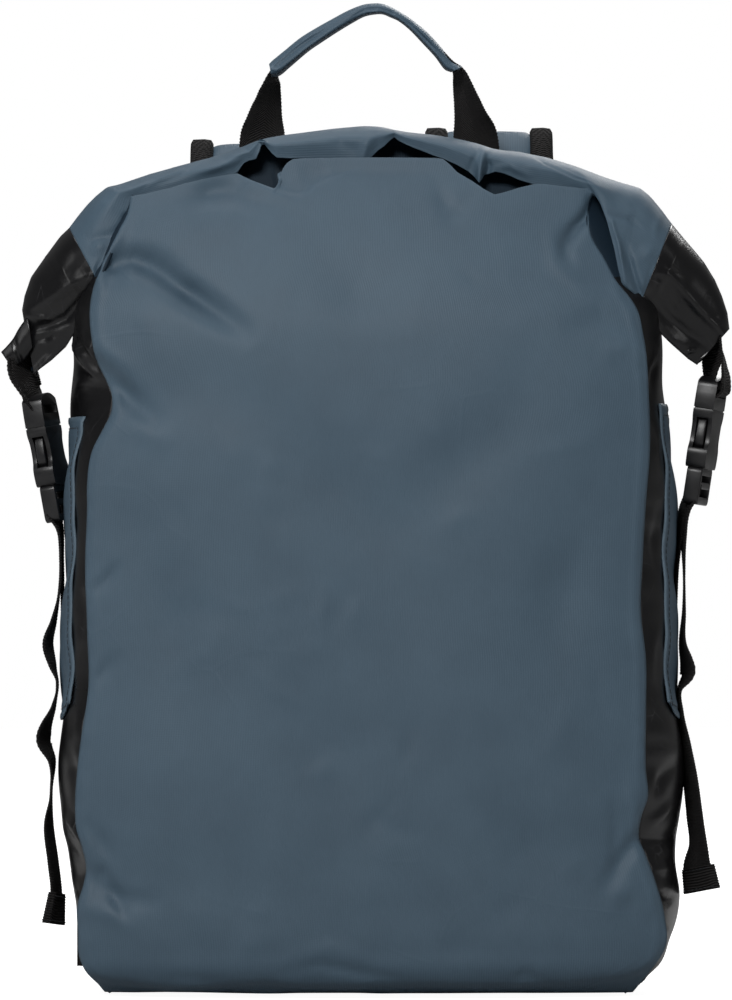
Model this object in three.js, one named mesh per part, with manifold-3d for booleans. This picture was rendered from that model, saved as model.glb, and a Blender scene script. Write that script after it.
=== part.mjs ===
// A stuffed rolltop backpack, in millimetres. X runs across, the front faces -Y and Z is up.
// The origin lies in the middle of the flat bottom.
import * as THREE from 'three';
import { mergeVertices } from 'three/addons/utils/BufferGeometryUtils.js';
import Module from 'manifold-3d';

const wasm = await Module();
wasm.setup();

// Driving dimensions of the body.
const halfWidth = 156;
const shoulderHeight = 345;
const frontDepth = 82;
const backDepth = 74;
const fabricWall = 2;
const seamGap = 0.3;
const patchWall = 1.5;
const frontCrown = 3;
const sideCrown = 2.6;
const backCornerShare = 0.88;
const dentsFrom = 0.1;

// Driving dimensions of the rolled collar.
const rollHalfSpan = 172;
const rollHeight = 443;
const rollThickness = 9;
const rollDepth = 24;
const rollTurns = 2.1;
const layerPitch = 2.9;
const layerSteps = 14;
const rollRest = 0.4;
const outerLayer = { reach: 0.65, depth: 0.5, under: 0.88 };
const coreLayers = 1.55;
const coreFits = 2.4;

// Driving dimensions of the webbing, the buckles and the straps.
const webbingWidth = 25;
const webbingWall = 1.5;
const fit = 0.3;
const buckleWidth = 34;
const buckleThickness = 10.5;
const socketLength = 45;
const frameLength = 20;
const plugThickness = 4.4;
const buckleCorner = 5;
const barWidth = 4;
const slotWidth = 4.5;
const handleHeight = 512;
const handleSpread = 54;
const sleeveWall = 1.6;
const padWidth = 56;
const padThickness = 11;
const bindingWidth = 5;
const padSpacing = 60;
const padLength = 300;
const padStandOff = 20;

const colours = { blue: 0x50616e, black: 0x141416, webbing: 0x191616, plastic: 0x1d1d1f };
const finishes = {
  blue: { color: colours.blue, roughness: 0.55, metalness: 0 },
  black: { color: colours.black, roughness: 0.25, metalness: 0 },
  webbing: { color: colours.webbing, roughness: 0.9, metalness: 0 },
  plastic: { color: colours.plastic, roughness: 0.45, metalness: 0 },
};

const bag = new THREE.Group();
const vec = (x, y, z) => new THREE.Vector3(x, y, z);
const mix = (a, b, share) => a + (b - a) * share;

function addPiece(name, geometry, finish) {
  geometry.computeVertexNormals();
  const mesh = new THREE.Mesh(geometry, new THREE.MeshStandardMaterial(finishes[finish]));
  mesh.name = name;
  bag.add(mesh);
  return mesh;
}

// A closed body from points and triangles that all turn the same way.
function closedGeometry(points, faces) {
  const volume = faces.reduce((sum, [a, b, c]) =>
    sum + points[a].dot(points[b].clone().cross(points[c])), 0);
  const index = faces.flatMap(([a, b, c]) => (volume < 0 ? [a, c, b] : [a, b, c]));
  const geometry = new THREE.BufferGeometry().setFromPoints(points);
  geometry.setIndex(index);
  return geometry;
}

// A wall between two matching grids of points, closed round its rim.
function wallGeometry(outer, inner, wrap = false) {
  const rows = outer.length;
  const columns = outer[0].length;
  const at = (side, row, column) => (side * rows + row) * columns + (column % columns);
  const faces = [];
  const quad = (a, b, c, d) => faces.push([a, b, c], [a, c, d]);
  const spans = wrap ? columns : columns - 1;
  const top = rows - 1;
  for (let column = 0; column < spans; column += 1) {
    const next = column + 1;
    for (let row = 0; row < top; row += 1) {
      quad(at(0, row, column), at(0, row, next), at(0, row + 1, next), at(0, row + 1, column));
      quad(at(1, row, column), at(1, row + 1, column), at(1, row + 1, next), at(1, row, next));
    }
    quad(at(0, 0, column), at(1, 0, column), at(1, 0, next), at(0, 0, next));
    quad(at(0, top, column), at(0, top, next), at(1, top, next), at(1, top, column));
  }
  for (let row = 0; !wrap && row < top; row += 1) {
    quad(at(0, row, 0), at(0, row + 1, 0), at(1, row + 1, 0), at(1, row, 0));
    quad(at(0, row, spans), at(1, row, spans), at(1, row + 1, spans), at(0, row + 1, spans));
  }
  return closedGeometry([...outer.flat(), ...inner.flat()], faces);
}

// The triangles that close a flat outline, turning the way the outline does.
function capFaces(outline) {
  const contour = outline.map(([x, y]) => new THREE.Vector2(x, y));
  const way = Math.sign(THREE.ShapeUtils.area(contour));
  return THREE.ShapeUtils.triangulateShape(contour, []).map(([a, b, c]) => {
    const turn = Math.sign(THREE.ShapeUtils.area([contour[a], contour[b], contour[c]]));
    return turn === way ? [a, b, c] : [a, c, b];
  });
}

// An outline carried along stations, each with a centre and two directions.
function sweepGeometry(stations, outlineAt) {
  const outlines = stations.map((station, index) => outlineAt(station, index));
  const points = stations.flatMap(({ centre, across, up }, index) => outlines[index].map(
    ([x, y]) => centre.clone().addScaledVector(across, x).addScaledVector(up, y)));
  const sides = outlines[0].length;
  const last = stations.length - 1;
  const at = (station, side) => station * sides + (side % sides);
  const faces = [];
  for (let station = 0; station < last; station += 1) {
    for (let side = 0; side < sides; side += 1) {
      faces.push([at(station, side), at(station, side + 1), at(station + 1, side + 1)]);
      faces.push([at(station, side), at(station + 1, side + 1), at(station + 1, side)]);
    }
  }
  capFaces(outlines[0]).forEach(([a, b, c]) => faces.push([at(0, a), at(0, c), at(0, b)]));
  capFaces(outlines[last]).forEach(([a, b, c]) => faces.push([at(last, a), at(last, b), at(last, c)]));
  return closedGeometry(points, faces);
}

// Stations along a strap. The turn, in degrees, is the way that its width runs, seen from above.
function strapStations(rows, count) {
  const line = new THREE.CatmullRomCurve3(rows.map((row) => vec(row.x, row.y, row.z)), false, 'centripetal');
  return Array.from({ length: count + 1 }, (_, step) => {
    const share = step / count;
    const place = share * (rows.length - 1);
    const row = Math.min(Math.floor(place), rows.length - 2);
    const turn = THREE.MathUtils.degToRad(mix(rows[row].turn, rows[row + 1].turn, place - row));
    const tangent = line.getTangent(share);
    const across = vec(Math.cos(turn), Math.sin(turn), 0);
    across.addScaledVector(tangent, -across.dot(tangent)).normalize();
    return { centre: line.getPoint(share), across, up: tangent.clone().cross(across), tangent, share };
  });
}

function band(width, thickness) {
  const x = width / 2;
  const y = thickness / 2;
  return [[-x, -y], [x, -y], [x, y], [-x, y]];
}

function addWebbing(name, rows, count, width = webbingWidth) {
  addPiece(name, sweepGeometry(strapStations(rows, count), () => band(width, webbingWall)), 'webbing');
}

// The rolled collar's centre line from left to right: x and z as shares of its half span and
// height, and the thickness and depth seen there as shares of the roll's own.
const rollRows = [
  { x: -0.995, z: 0.747, thick: 1.72, depth: 0.97 },
  { x: -0.965, z: 0.799, thick: 1.6, depth: 0.97 },
  { x: -0.924, z: 0.838, thick: 1.7, depth: 0.97 },
  { x: -0.86, z: 0.867, thick: 1.75, depth: 0.97 },
  { x: -0.745, z: 0.915, thick: 1.65, depth: 1 },
  { x: -0.58, z: 0.952, thick: 1.45, depth: 1 },
  { x: -0.38, z: 0.978, thick: 1.2, depth: 1 },
  { x: -0.145, z: 0.996, thick: 1, depth: 1 },
  { x: 0.047, z: 1, thick: 0.95, depth: 1 },
  { x: 0.26, z: 0.992, thick: 0.85, depth: 1 },
  { x: 0.5, z: 0.972, thick: 1, depth: 1 },
  { x: 0.71, z: 0.942, thick: 1.15, depth: 1 },
  { x: 0.81, z: 0.907, thick: 1.4, depth: 1 },
  { x: 0.885, z: 0.862, thick: 1.9, depth: 0.97 },
  { x: 0.965, z: 0.826, thick: 1.95, depth: 0.97 },
  { x: 1, z: 0.79, thick: 1.9, depth: 0.97 },
  { x: 1.01, z: 0.757, thick: 1.85, depth: 0.97 },
];
const leftSeamRow = 3;
const rightSeamRow = 13;
const rollLine = new THREE.CatmullRomCurve3(
  rollRows.map((row) => vec(row.x * rollHalfSpan, 0, row.z * rollHeight)), false, 'catmullrom');

// A station of the roll at a place counted in rows, with its half thickness and half depth.
function rollStation(place) {
  const last = rollRows.length - 1;
  const row = Math.min(Math.floor(place), last - 1);
  const size = (name) => mix(rollRows[row][name], rollRows[row + 1][name], place - row);
  const tangent = rollLine.getTangent(place / last);
  const centre = rollLine.getPoint(place / last);
  const reach = size('thick') * rollThickness + layerPitch * outerLayer.reach;
  return {
    centre,
    across: vec(0, 1, 0),
    up: vec(-tangent.z, 0, tangent.x),
    reach,
    depth: size('depth') * rollDepth + layerPitch * outerLayer.depth,
    under: reach - layerPitch * outerLayer.under,
  };
}

// The place in rows at a share of the length between the two seams.
const lengthSteps = 400;
const lengths = rollLine.getLengths(lengthSteps);
const lengthShare = (row) => (
  lengths[Math.round((row / (rollRows.length - 1)) * lengthSteps)] / lengths[lengthSteps]);
const seamSpan = [lengthShare(leftSeamRow), lengthShare(rightSeamRow)];
const placeBetweenSeams = (share) => (
  rollLine.getUtoTmapping(mix(...seamSpan, share)) * (rollRows.length - 1));

// The spiral that a rolled collar shows when it is cut: up the back, over the top and inwards.
function spiralOutline({ reach, depth, under }) {
  const start = -50;
  const steps = Math.round(rollTurns * layerSteps);
  const point = (step, inset) => {
    const turn = THREE.MathUtils.degToRad(start + (step * 360) / layerSteps);
    const gone = (step * layerPitch) / layerSteps + inset;
    return [(depth - gone) * Math.cos(turn), (reach - gone) * Math.sin(turn)];
  };
  const walk = Array.from({ length: steps + 1 }, (_, step) => step);
  const [tailX] = point(0, 0);
  const tail = [[tailX - fabricWall, -under + fit], [tailX, -under + fit]];
  const outside = walk.map((step) => point(step, 0));
  const inside = walk.map((step) => point(step, fabricWall)).reverse();
  return [...tail, ...outside, ...inside];
}

function rollPiece(name, from, to, count, finish) {
  const stations = Array.from({ length: count + 1 }, (_, step) => rollStation(mix(from, to, step / count)));
  addPiece(name, sweepGeometry(stations, spiralOutline), finish);
}

const rollEnd = rollRows.length - 1;
const rowSpacing = (rollHalfSpan * 2) / rollEnd;
const seamShare = seamGap / rowSpacing;
rollPiece('roll_end_left', 0, leftSeamRow - seamShare, 4, 'black');
rollPiece('roll_middle', leftSeamRow, rightSeamRow, 15, 'blue');
rollPiece('roll_end_right', rightSeamRow + seamShare, rollEnd, 4, 'black');

// Level sections of the body. Heights are shares of the shoulder height, widths of the half
// width and depths of the front and back depth: the sides' reach, the seams, and the depth at
// the middle and at the corners.
const sectionColumns = ['z', 'left', 'right', 'seamLeft', 'seamRight', 'front', 'corner', 'back'];
const sections = [
  [0, 0.846, 0.846, 0.795, 0.795, 0.8, 0.62, 0.8],
  [0.009, 0.904, 0.917, 0.846, 0.859, 0.89, 0.7, 0.87],
  [0.03, 0.94, 0.968, 0.89, 0.92, 0.95, 0.75, 0.92],
  [0.07, 0.955, 1.014, 0.925, 0.972, 0.98, 0.78, 0.95],
  [0.14, 0.958, 1.042, 0.946, 0.974, 0.99, 0.79, 0.96],
  [0.19, 0.971, 1.029, 0.929, 0.936, 1, 0.79, 0.97],
  [0.27, 1.019, 1.048, 0.968, 0.923, 1, 0.8, 0.98],
  [0.35, 1.013, 1.042, 0.958, 0.936, 1, 0.8, 0.99],
  [0.412, 0.994, 1.018, 0.933, 0.934, 0.99, 0.8, 1],
  [0.51, 0.984, 1.016, 0.926, 0.935, 0.98, 0.79, 1],
  [0.6, 0.978, 1.015, 0.931, 0.92, 0.97, 0.78, 1],
  [0.69, 0.973, 1.012, 0.933, 0.926, 0.96, 0.77, 0.99],
  [0.77, 0.971, 1.008, 0.926, 0.937, 0.95, 0.76, 0.98],
  [0.826, 0.968, 0.997, 0.904, 0.942, 0.94, 0.75, 0.97],
  [0.884, 0.966, 0.981, 0.85, 0.945, 0.93, 0.74, 0.96],
  [0.94, 0.955, 0.975, 0.872, 0.942, 0.91, 0.73, 0.94],
  [1, 0.942, 0.955, 0.913, 0.926, 0.89, 0.72, 0.92],
].map((row) => Object.fromEntries(row.map((value, column) => [sectionColumns[column], value])));
const patchRows = { low: 8, high: 14 };

// Rows over the shoulder, on the way to the crest under the roll, with how far they stand out.
const shoulderRows = [
  { share: 0.3, bulge: 0.08 },
  { share: 0.6, bulge: 0.1 },
  { share: 0.85, bulge: 0.07 },
];

// Rows under the roll: how far they lie from the roll's middle, as a share of its depth, and
// how far below its underside, as a share of its thickness, on the front and on the back.
const tuckRows = [
  { front: -1.5, frontDrop: -0.15, back: 1.9, backDrop: 1 },
  { front: -1.18, frontDrop: 0.25, back: 1.55, backDrop: 0.5 },
  { front: -0.4, frontDrop: 0.08, back: 1.2, backDrop: 0.2 },
  { front: 0.48, frontDrop: 0, back: 0.82, backDrop: 0 },
];

// Soft dents of the front: place, size and depth as shares of the half width, with the turn of
// the long side in degrees.
const dents = [
  { x: -0.62, z: 2.37, long: 0.42, short: 0.09, turn: -34, depth: 0.045 },
  { x: -0.84, z: 2.03, long: 0.2, short: 0.1, turn: -12, depth: 0.04 },
  { x: 0.66, z: 2.47, long: 0.2, short: 0.08, turn: 60, depth: 0.04 },
  { x: 0.8, z: 0.5, long: 0.2, short: 0.07, turn: 50, depth: 0.03 },
  { x: -0.2, z: 0.95, long: 0.6, short: 0.2, turn: 40, depth: 0.02 },
  { x: 0.25, z: 1.7, long: 0.6, short: 0.22, turn: -35, depth: 0.02 },
];
const frontColumns = 18;
const backColumns = 8;
const sideShares = [0, 0.1, 0.3, 0.5, 0.7, 0.9, 1];

function dentAt(x, z) {
  return dents.reduce((sum, dent) => {
    const turn = THREE.MathUtils.degToRad(dent.turn);
    const dx = x / halfWidth - dent.x;
    const dz = z / halfWidth - dent.z;
    const along = (dx * Math.cos(turn) + dz * Math.sin(turn)) / dent.long;
    const aside = (dz * Math.cos(turn) - dx * Math.sin(turn)) / dent.short;
    return sum + dent.depth * halfWidth * Math.exp(-along * along - aside * aside);
  }, 0);
}

// The four corners and the four middles of a ring, as functions of a share along each side.
function sectionRing(row) {
  const z = row.z * shoulderHeight;
  const frontCorner = -row.corner * frontDepth;
  const backCorner = row.back * backDepth * backCornerShare;
  const seam = { left: -row.seamLeft * halfWidth, right: row.seamRight * halfWidth };
  const reach = { left: -row.left * halfWidth, right: row.right * halfWidth };
  const crown = (share, power) => 1 - Math.abs(2 * share - 1) ** power;
  return {
    front: (share) => {
      const x = mix(seam.left, seam.right, share);
      const y = mix(frontCorner, -row.front * frontDepth, crown(share, frontCrown));
      return vec(x, y + dentAt(x, z) * (row.z > dentsFrom ? 1 : 0), z);
    },
    side: (hand, share) => vec(
      mix(seam[hand], reach[hand], crown(share, sideCrown)), mix(frontCorner, backCorner, share), z),
    back: (share) => vec(
      mix(seam.right, seam.left, share), mix(backCorner, row.back * backDepth, crown(share, frontCrown)), z),
  };
}

// The rows past the crest stop short of the side panels.
const tuckInset = 0.011;

function tuckRing(row, index) {
  const inset = index > 0 ? tuckInset : 0;
  const under = (share, y, drop) => {
    const { centre, up, under: reach } = rollStation(placeBetweenSeams(mix(inset, 1 - inset, share)));
    const fall = reach + rollRest + drop * rollThickness;
    return vec(centre.x, y * rollDepth, centre.z).addScaledVector(up, -fall);
  };
  const front = (share) => under(share, row.front, row.frontDrop);
  const back = (share) => under(1 - share, row.back, row.backDrop);
  const ends = { left: [front(0), back(1)], right: [front(1), back(0)] };
  return { front, back, side: (hand, share) => ends[hand][0].clone().lerp(ends[hand][1], share) };
}

function blendRing(low, high, share, bulge) {
  const out = bulge * frontDepth;
  return {
    front: (place) => low.front(place).lerp(high.front(place), share).add(vec(0, -out, 0)),
    back: (place) => low.back(place).lerp(high.back(place), share).add(vec(0, out, 0)),
    side: (hand, place) => low.side(hand, place).lerp(high.side(hand, place), share)
      .add(vec(0, mix(-out, out, place), 0)),
  };
}

const straightRings = sections.map(sectionRing);
const tuckRings = tuckRows.map(tuckRing);
const topRing = straightRings[straightRings.length - 1];
const rings = [
  ...straightRings,
  ...shoulderRows.map(({ share, bulge }) => blendRing(topRing, tuckRings[0], share, bulge)),
  ...tuckRings,
];

// Every ring as points, once round: front, right side, back and left side, sharing the seams.
const shares = (count) => Array.from({ length: count }, (_, step) => step / count);
const rightShares = sideShares.slice(0, -1);
const leftShares = sideShares.slice(1).reverse();
const columnStart = {
  front: 0,
  right: frontColumns,
  back: frontColumns + rightShares.length,
  left: frontColumns + rightShares.length + backColumns,
};
const columnCount = columnStart.left + leftShares.length;
const skin = rings.map((ring) => [
  ...shares(frontColumns).map((share) => ring.front(share)),
  ...rightShares.map((share) => ring.side('right', share)),
  ...shares(backColumns).map((share) => ring.back(share)),
  ...leftShares.map((share) => ring.side('left', share)),
]);

// The side panels end at the crest, where the front and the back turn under the roll.
const topRow = rings.length - 1;
const crestRow = topRow - tuckRows.length + 1;
const sideStarts = [columnStart.right, columnStart.left];
const sideEnds = [columnStart.back, columnStart.front];
const inSide = (column) => [
  [columnStart.right, columnStart.back],
  [columnStart.left, columnCount],
].some(([from, to]) => column > from && column < to);

// The way that the skin faces at a point, from its neighbours.
const skinNormals = skin.map((ring, row) => ring.map((_, column) => {
  const tucked = row > crestRow;
  const back = tucked && sideEnds.includes(column) ? 0 : columnCount - 1;
  const forth = tucked && sideStarts.includes(column) ? 0 : 1;
  const rise = row === topRow || (row === crestRow && inSide(column)) ? 0 : 1;
  const before = ring[(column + back) % columnCount];
  const after = ring[(column + forth) % columnCount];
  const below = skin[Math.max(row - 1, 0)][column];
  const above = skin[row + rise][column];
  return after.clone().sub(before).cross(above.clone().sub(below)).normalize();
}));

function skinPoint(row, column, inset) {
  const place = column % columnCount;
  return skin[row][place].clone().addScaledVector(skinNormals[row][place], -inset);
}

// A patch of the skin between two insets, drawn back at both side edges by half the seam gap.
function skinPatch(rowFrom, rowTo, columnFrom, columnTo, outset, inset) {
  const grid = (depth) => Array.from({ length: rowTo - rowFrom + 1 }, (_, step) => {
    const row = rowFrom + step;
    const line = [];
    for (let column = columnFrom; column <= columnTo; column += 1) {
      line.push(skinPoint(row, column, depth));
    }
    const last = line.length - 1;
    const drawn = (edge, next) => edge.clone().add(next.clone().sub(edge).setLength(seamGap / 2));
    const ends = [drawn(line[0], line[1]), drawn(line[last], line[last - 1])];
    return [ends[0], ...line.slice(1, last), ends[1]];
  });
  return wallGeometry(grid(outset), grid(inset));
}

const panels = [
  { name: 'front_panel', top: topRow, from: columnStart.front, to: columnStart.right, finish: 'blue' },
  { name: 'side_panel_right', top: crestRow, from: columnStart.right, to: columnStart.back, finish: 'black' },
  { name: 'back_panel', top: topRow, from: columnStart.back, to: columnStart.left, finish: 'blue' },
  { name: 'side_panel_left', top: crestRow, from: columnStart.left, to: columnCount, finish: 'black' },
];
for (const { name, top, from, to, finish } of panels) {
  addPiece(name, skinPatch(0, top, from, to, 0, fabricWall), finish);
}

// The fabric patch on each side starts one column in from the seams.
for (const [hand, start] of [['right', columnStart.right], ['left', columnStart.left]]) {
  const end = start + sideShares.length - 1;
  const geometry = skinPatch(patchRows.low, patchRows.high, start + 1, end - 1, -fit - patchWall, -fit);
  addPiece(`side_patch_${hand}`, geometry, 'blue');
}

// The flat bottom fills the lowest ring.
const floorInset = fabricWall + seamGap * 2;
const floorOutline = skin[0].map((point) => {
  const inward = point.clone().setZ(0).setLength(floorInset);
  return new THREE.Vector2(point.x - inward.x, point.y - inward.y);
});
function bare(geometry) {
  geometry.deleteAttribute('normal');
  geometry.deleteAttribute('uv');
  return mergeVertices(geometry);
}
const flat = (outline, depth) => bare(
  new THREE.ExtrudeGeometry(outline, { depth, bevelEnabled: false, curveSegments: 4 }));
addPiece('base_panel', flat(new THREE.Shape(floorOutline), fabricWall), 'blue');

// Buckles, drawn lying flat: across, along and thickness. The mouth of the socket is at zero.
function rounded(width, length, radius) {
  const shape = new THREE.Shape();
  const x = width / 2;
  shape.moveTo(-x + radius, 0);
  shape.lineTo(x - radius, 0);
  shape.quadraticCurveTo(x, 0, x, radius);
  shape.lineTo(x, length - radius);
  shape.quadraticCurveTo(x, length, x - radius, length);
  shape.lineTo(-x + radius, length);
  shape.quadraticCurveTo(-x, length, -x, length - radius);
  shape.lineTo(-x, radius);
  shape.quadraticCurveTo(-x, 0, -x + radius, 0);
  return shape;
}

function slotHole(width, low, high) {
  const x = width / 2;
  const corners = [[-x, low], [x, low], [x, high], [-x, high]];
  return new THREE.Path(corners.map((point) => new THREE.Vector2(...point)));
}

function toSolid(geometry) {
  const merged = bare(geometry);
  const triVerts = new Uint32Array(merged.index.array);
  return new wasm.Manifold(new wasm.Mesh({
    numProp: 3, vertProperties: merged.attributes.position.array, triVerts }));
}

function fromSolid(solid) {
  const { vertProperties, triVerts, numProp } = solid.getMesh();
  const geometry = new THREE.BufferGeometry();
  const places = Array.from({ length: vertProperties.length / numProp }, (_, vertex) =>
    vertProperties.subarray(vertex * numProp, vertex * numProp + 3));
  const numbers = places.flatMap((place) => [...place]);
  geometry.setAttribute('position', new THREE.Float32BufferAttribute(numbers, 3));
  geometry.setIndex([...triVerts]);
  return geometry;
}

const slotLength = webbingWidth + 1.5;
const mouthWidth = 27;
const prongLength = 26;
const prongWidth = 4;
const prongReach = 12;
const windowLow = 9;
const windowHigh = 24;
const mouthHeight = plugThickness + fit * 4;

function socketGeometry() {
  const body = rounded(buckleWidth, socketLength, buckleCorner);
  const top = socketLength - barWidth;
  body.holes.push(slotHole(slotLength, top - slotWidth, top));
  const block = flat(body, buckleThickness).translate(0, 0, -buckleThickness / 2);
  const mouth = new THREE.BoxGeometry(mouthWidth, (prongLength + 2) * 2, mouthHeight);
  const windows = new THREE.BoxGeometry(buckleWidth + 2, windowHigh - windowLow, mouthHeight);
  windows.translate(0, (windowHigh + windowLow) / 2, 0);
  return fromSolid(toSolid(block).subtract(toSolid(mouth)).subtract(toSolid(windows)));
}

function plugGeometry() {
  const frame = rounded(buckleWidth - 2, frameLength, barWidth * 0.8);
  frame.holes.push(slotHole(slotLength, barWidth, barWidth + slotWidth));
  frame.holes.push(slotHole(slotLength, barWidth * 2 + slotWidth, barWidth * 2 + slotWidth * 2 - 1));
  const half = flat(frame, plugThickness).translate(0, -frameLength - fit, -plugThickness / 2);
  const reach = prongLength + 2;
  const parts = [-1, 1].map((hand) => {
    const inner = hand * (prongReach - prongWidth);
    const outer = hand * prongReach;
    const hook = hand * (buckleWidth / 2 - 1);
    const prong = new THREE.Shape([
      [inner, -2], [outer, -2], [outer, windowLow + 2], [hook, windowLow + 2],
      [outer, windowHigh - 2], [outer, prongLength], [inner, prongLength],
    ].map((point) => new THREE.Vector2(...point)));
    return flat(prong, plugThickness).translate(0, 0, -plugThickness / 2);
  });
  const guide = new THREE.BoxGeometry(prongWidth, reach, plugThickness).translate(0, reach / 2 - 2, 0);
  return fromSolid([...parts, guide].reduce((solid, part) => solid.add(toSolid(part)), toSolid(half)));
}

// Where each buckle's mouth is: out as a share of the half width and hanging below the roll's end
// as a share of the socket's length, how far it leans out and is turned to the front, in degrees.
const buckles = {
  left: { hand: -1, roll: 0, x: 1.049, hang: 1.4275, lean: 10.2, turn: -12 },
  right: { hand: 1, roll: rollEnd, x: 1.101, hang: 1.3572, lean: 8.6, turn: 12 },
};

function buckleFrame({ hand, roll, x, hang, lean, turn }) {
  const tilt = THREE.MathUtils.degToRad(lean);
  const swing = THREE.MathUtils.degToRad(turn);
  const along = vec(hand * Math.sin(tilt), 0, Math.cos(tilt));
  const out = vec(hand * Math.cos(swing), -Math.sin(swing), 0);
  out.addScaledVector(along, -out.dot(along)).normalize();
  const rollLow = rollStation(roll).centre.z;
  const mouth = vec(hand * x * halfWidth, 0, rollLow - hang * socketLength);
  const place = (up, side) => mouth.clone().addScaledVector(along, up).addScaledVector(out, side);
  return { mouth, along, out, place };
}

function placeBuckle(name, geometry, { mouth, along, out }) {
  const piece = addPiece(name, geometry, 'plastic');
  piece.position.copy(mouth);
  piece.quaternion.setFromRotationMatrix(new THREE.Matrix4().makeBasis(along.clone().cross(out), along, out));
}

// How far the side of the body reaches at a height.
function sideReach(hand, height) {
  const share = height / shoulderHeight;
  const above = Math.max(1, sections.findIndex((row) => row.z >= share));
  const [low, high] = [sections[above - 1], sections[above]];
  return halfWidth * mix(low[hand], high[hand], (share - low.z) / (high.z - low.z));
}

// Rows of the loose ends: height as a share of the height where they leave the buckle, how many
// webbing walls they stand off the body, and the turn of their width in degrees.
const tailRows = {
  left: [
    { z: 0.950, off: 4.8, turn: 88 },
    { z: 0.851, off: 4.3, turn: 90 },
    { z: 0.733, off: 6.8, turn: 84 },
    { z: 0.663, off: 3.7, turn: 84 },
    { z: 0.542, off: 7.7, turn: 80 },
    { z: 0.494, off: 4, turn: 80 },
    { z: 0.363, off: 4.2, turn: 84 },
    { z: 0.223, off: 6.8, turn: 80 },
    { z: 0.149, off: 6.6, turn: 72 },
  ],
  right: [
    { z: 0.949, off: 6.9, turn: 90 },
    { z: 0.881, off: 6.7, turn: 90 },
    { z: 0.699, off: 6.3, turn: 92 },
    { z: 0.664, off: 7.4, turn: 94 },
    { z: 0.617, off: 3.4, turn: 96 },
    { z: 0.393, off: 7.1, turn: 100 },
    { z: 0.271, off: 9.4, turn: 125 },
    { z: 0.213, off: 9.4, turn: 130 },
  ],
};
const anchorRows = { sewn: 0.475, upper: 0.55, free: 0.64 };
const hemShare = 0.93;

for (const name of ['left', 'right']) {
  const frame = buckleFrame(buckles[name]);
  const { hand } = buckles[name];
  placeBuckle(`buckle_socket_${name}`, socketGeometry(), frame);
  placeBuckle(`buckle_plug_${name}`, plugGeometry(), frame);
  const row = (point, turn = 90) => ({ x: point.x, y: point.y, z: point.z, turn });
  const side = (z, off, turn, tall = shoulderHeight) => {
    const height = z * tall;
    return { x: hand * (sideReach(name, height) + off * webbingWall), y: 0, z: height, turn };
  };

  // The webbing comes out of the roll, where it lies against the fabric, and runs to the buckle.
  const core = (place) => {
    const { centre, up, reach, depth } = rollStation(place);
    const gone = layerPitch * coreLayers + fabricWall;
    const half = webbingWidth / 2 / (depth - gone);
    const seat = (reach - gone) * Math.sqrt(1 - half * half) - webbingWall / 2 - fit * coreFits;
    return centre.clone().addScaledVector(up, seat);
  };
  const step = hand < 0 ? 1 : -1;
  const end = hand < 0 ? 0 : rollEnd;
  const face = buckleThickness / 2 + fit * 2 + webbingWall / 2;
  const turn = 90 - hand * buckles[name].turn;
  addWebbing(`roll_webbing_${name}`, [
    row(core(end + step)), row(core(end)), row(frame.place(socketLength - 1, face), turn),
    row(frame.place(socketLength - barWidth - slotWidth, face), turn),
  ], 10);

  // The sewn anchor runs from the patch to the inner face of the plug, the loose end from its
  // outer face down to the hemmed tab.
  const plugFace = plugThickness / 2 + fit * 2 + webbingWall / 2;
  const seat = (patchWall + fit * 2) / webbingWall + 0.5;
  addWebbing(`anchor_strap_${name}`, [
    side(anchorRows.sewn, seat, 90), side(anchorRows.upper, seat, 90), side(anchorRows.free, seat + 0.1, 90),
    row(frame.place(-frameLength + 1, -plugFace), turn), row(frame.place(-frameLength / 2, -plugFace), turn),
  ], 10);
  const plugExit = frame.place(-frameLength, 0).z;
  const tail = strapStations([
    row(frame.place(-frameLength / 2, plugFace), turn), row(frame.place(-frameLength, plugFace), turn),
    ...tailRows[name].map(({ z, off, turn: twist }) => side(z, off, twist, plugExit)),
  ], 22);
  const tailBand = ({ share }) => band(webbingWidth * 0.9, webbingWall * (share > hemShare ? 2.2 : 1));
  addPiece(`tail_strap_${name}`, sweepGeometry(tail, tailBand), 'webbing');
}

// A place on the back panel near a width share, lifted off the fabric.
function backSeat(row, x, lift) {
  const goal = x * halfWidth;
  const ahead = skin[row].findIndex((point, column) => column > columnStart.back && point.x < goal);
  const [right, left] = [skin[row][ahead - 1].x, skin[row][ahead].x];
  const share = (right - goal) / (right - left);
  return skinPoint(row, ahead - 1, -lift).lerp(skinPoint(row, ahead, -lift), share);
}

// The carrying handle: webbing sewn behind the roll, twisting into a folded fabric sleeve. Places
// are shares of the spread and of the rise above the roll, with the turn of the width in degrees.
const handleDepth = rollDepth * 1.75;
const handleBase = rollHeight * 0.985;
const handleRise = handleHeight - handleBase;
const handleRows = [
  { x: -1, rise: 0, turn: 0 },
  { x: -0.93, rise: 0.45, turn: 30 },
  { x: -0.87, rise: 0.65, turn: 80 },
  { x: -0.5, rise: 0.81, turn: 90 },
  { x: -0.16, rise: 0.95, turn: 90 },
  { x: 0.11, rise: 1, turn: 90 },
  { x: 0.46, rise: 0.86, turn: 90 },
  { x: 0.82, rise: 0.67, turn: 95 },
  { x: 0.94, rise: 0.45, turn: 140 },
  { x: 1.02, rise: 0, turn: 180 },
];
const sleeveRows = { from: 4, to: 9 };
const sleeveHeight = 7;
const handleLift = fit * 11 + webbingWall / 2;
const spreadShare = handleSpread / halfWidth;
const foot = (x, row, lift, turn) => {
  const { x: px, y, z } = backSeat(row, x * spreadShare, lift);
  return { x: px, y, z, turn };
};
const footRow = topRow - 1;
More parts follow.
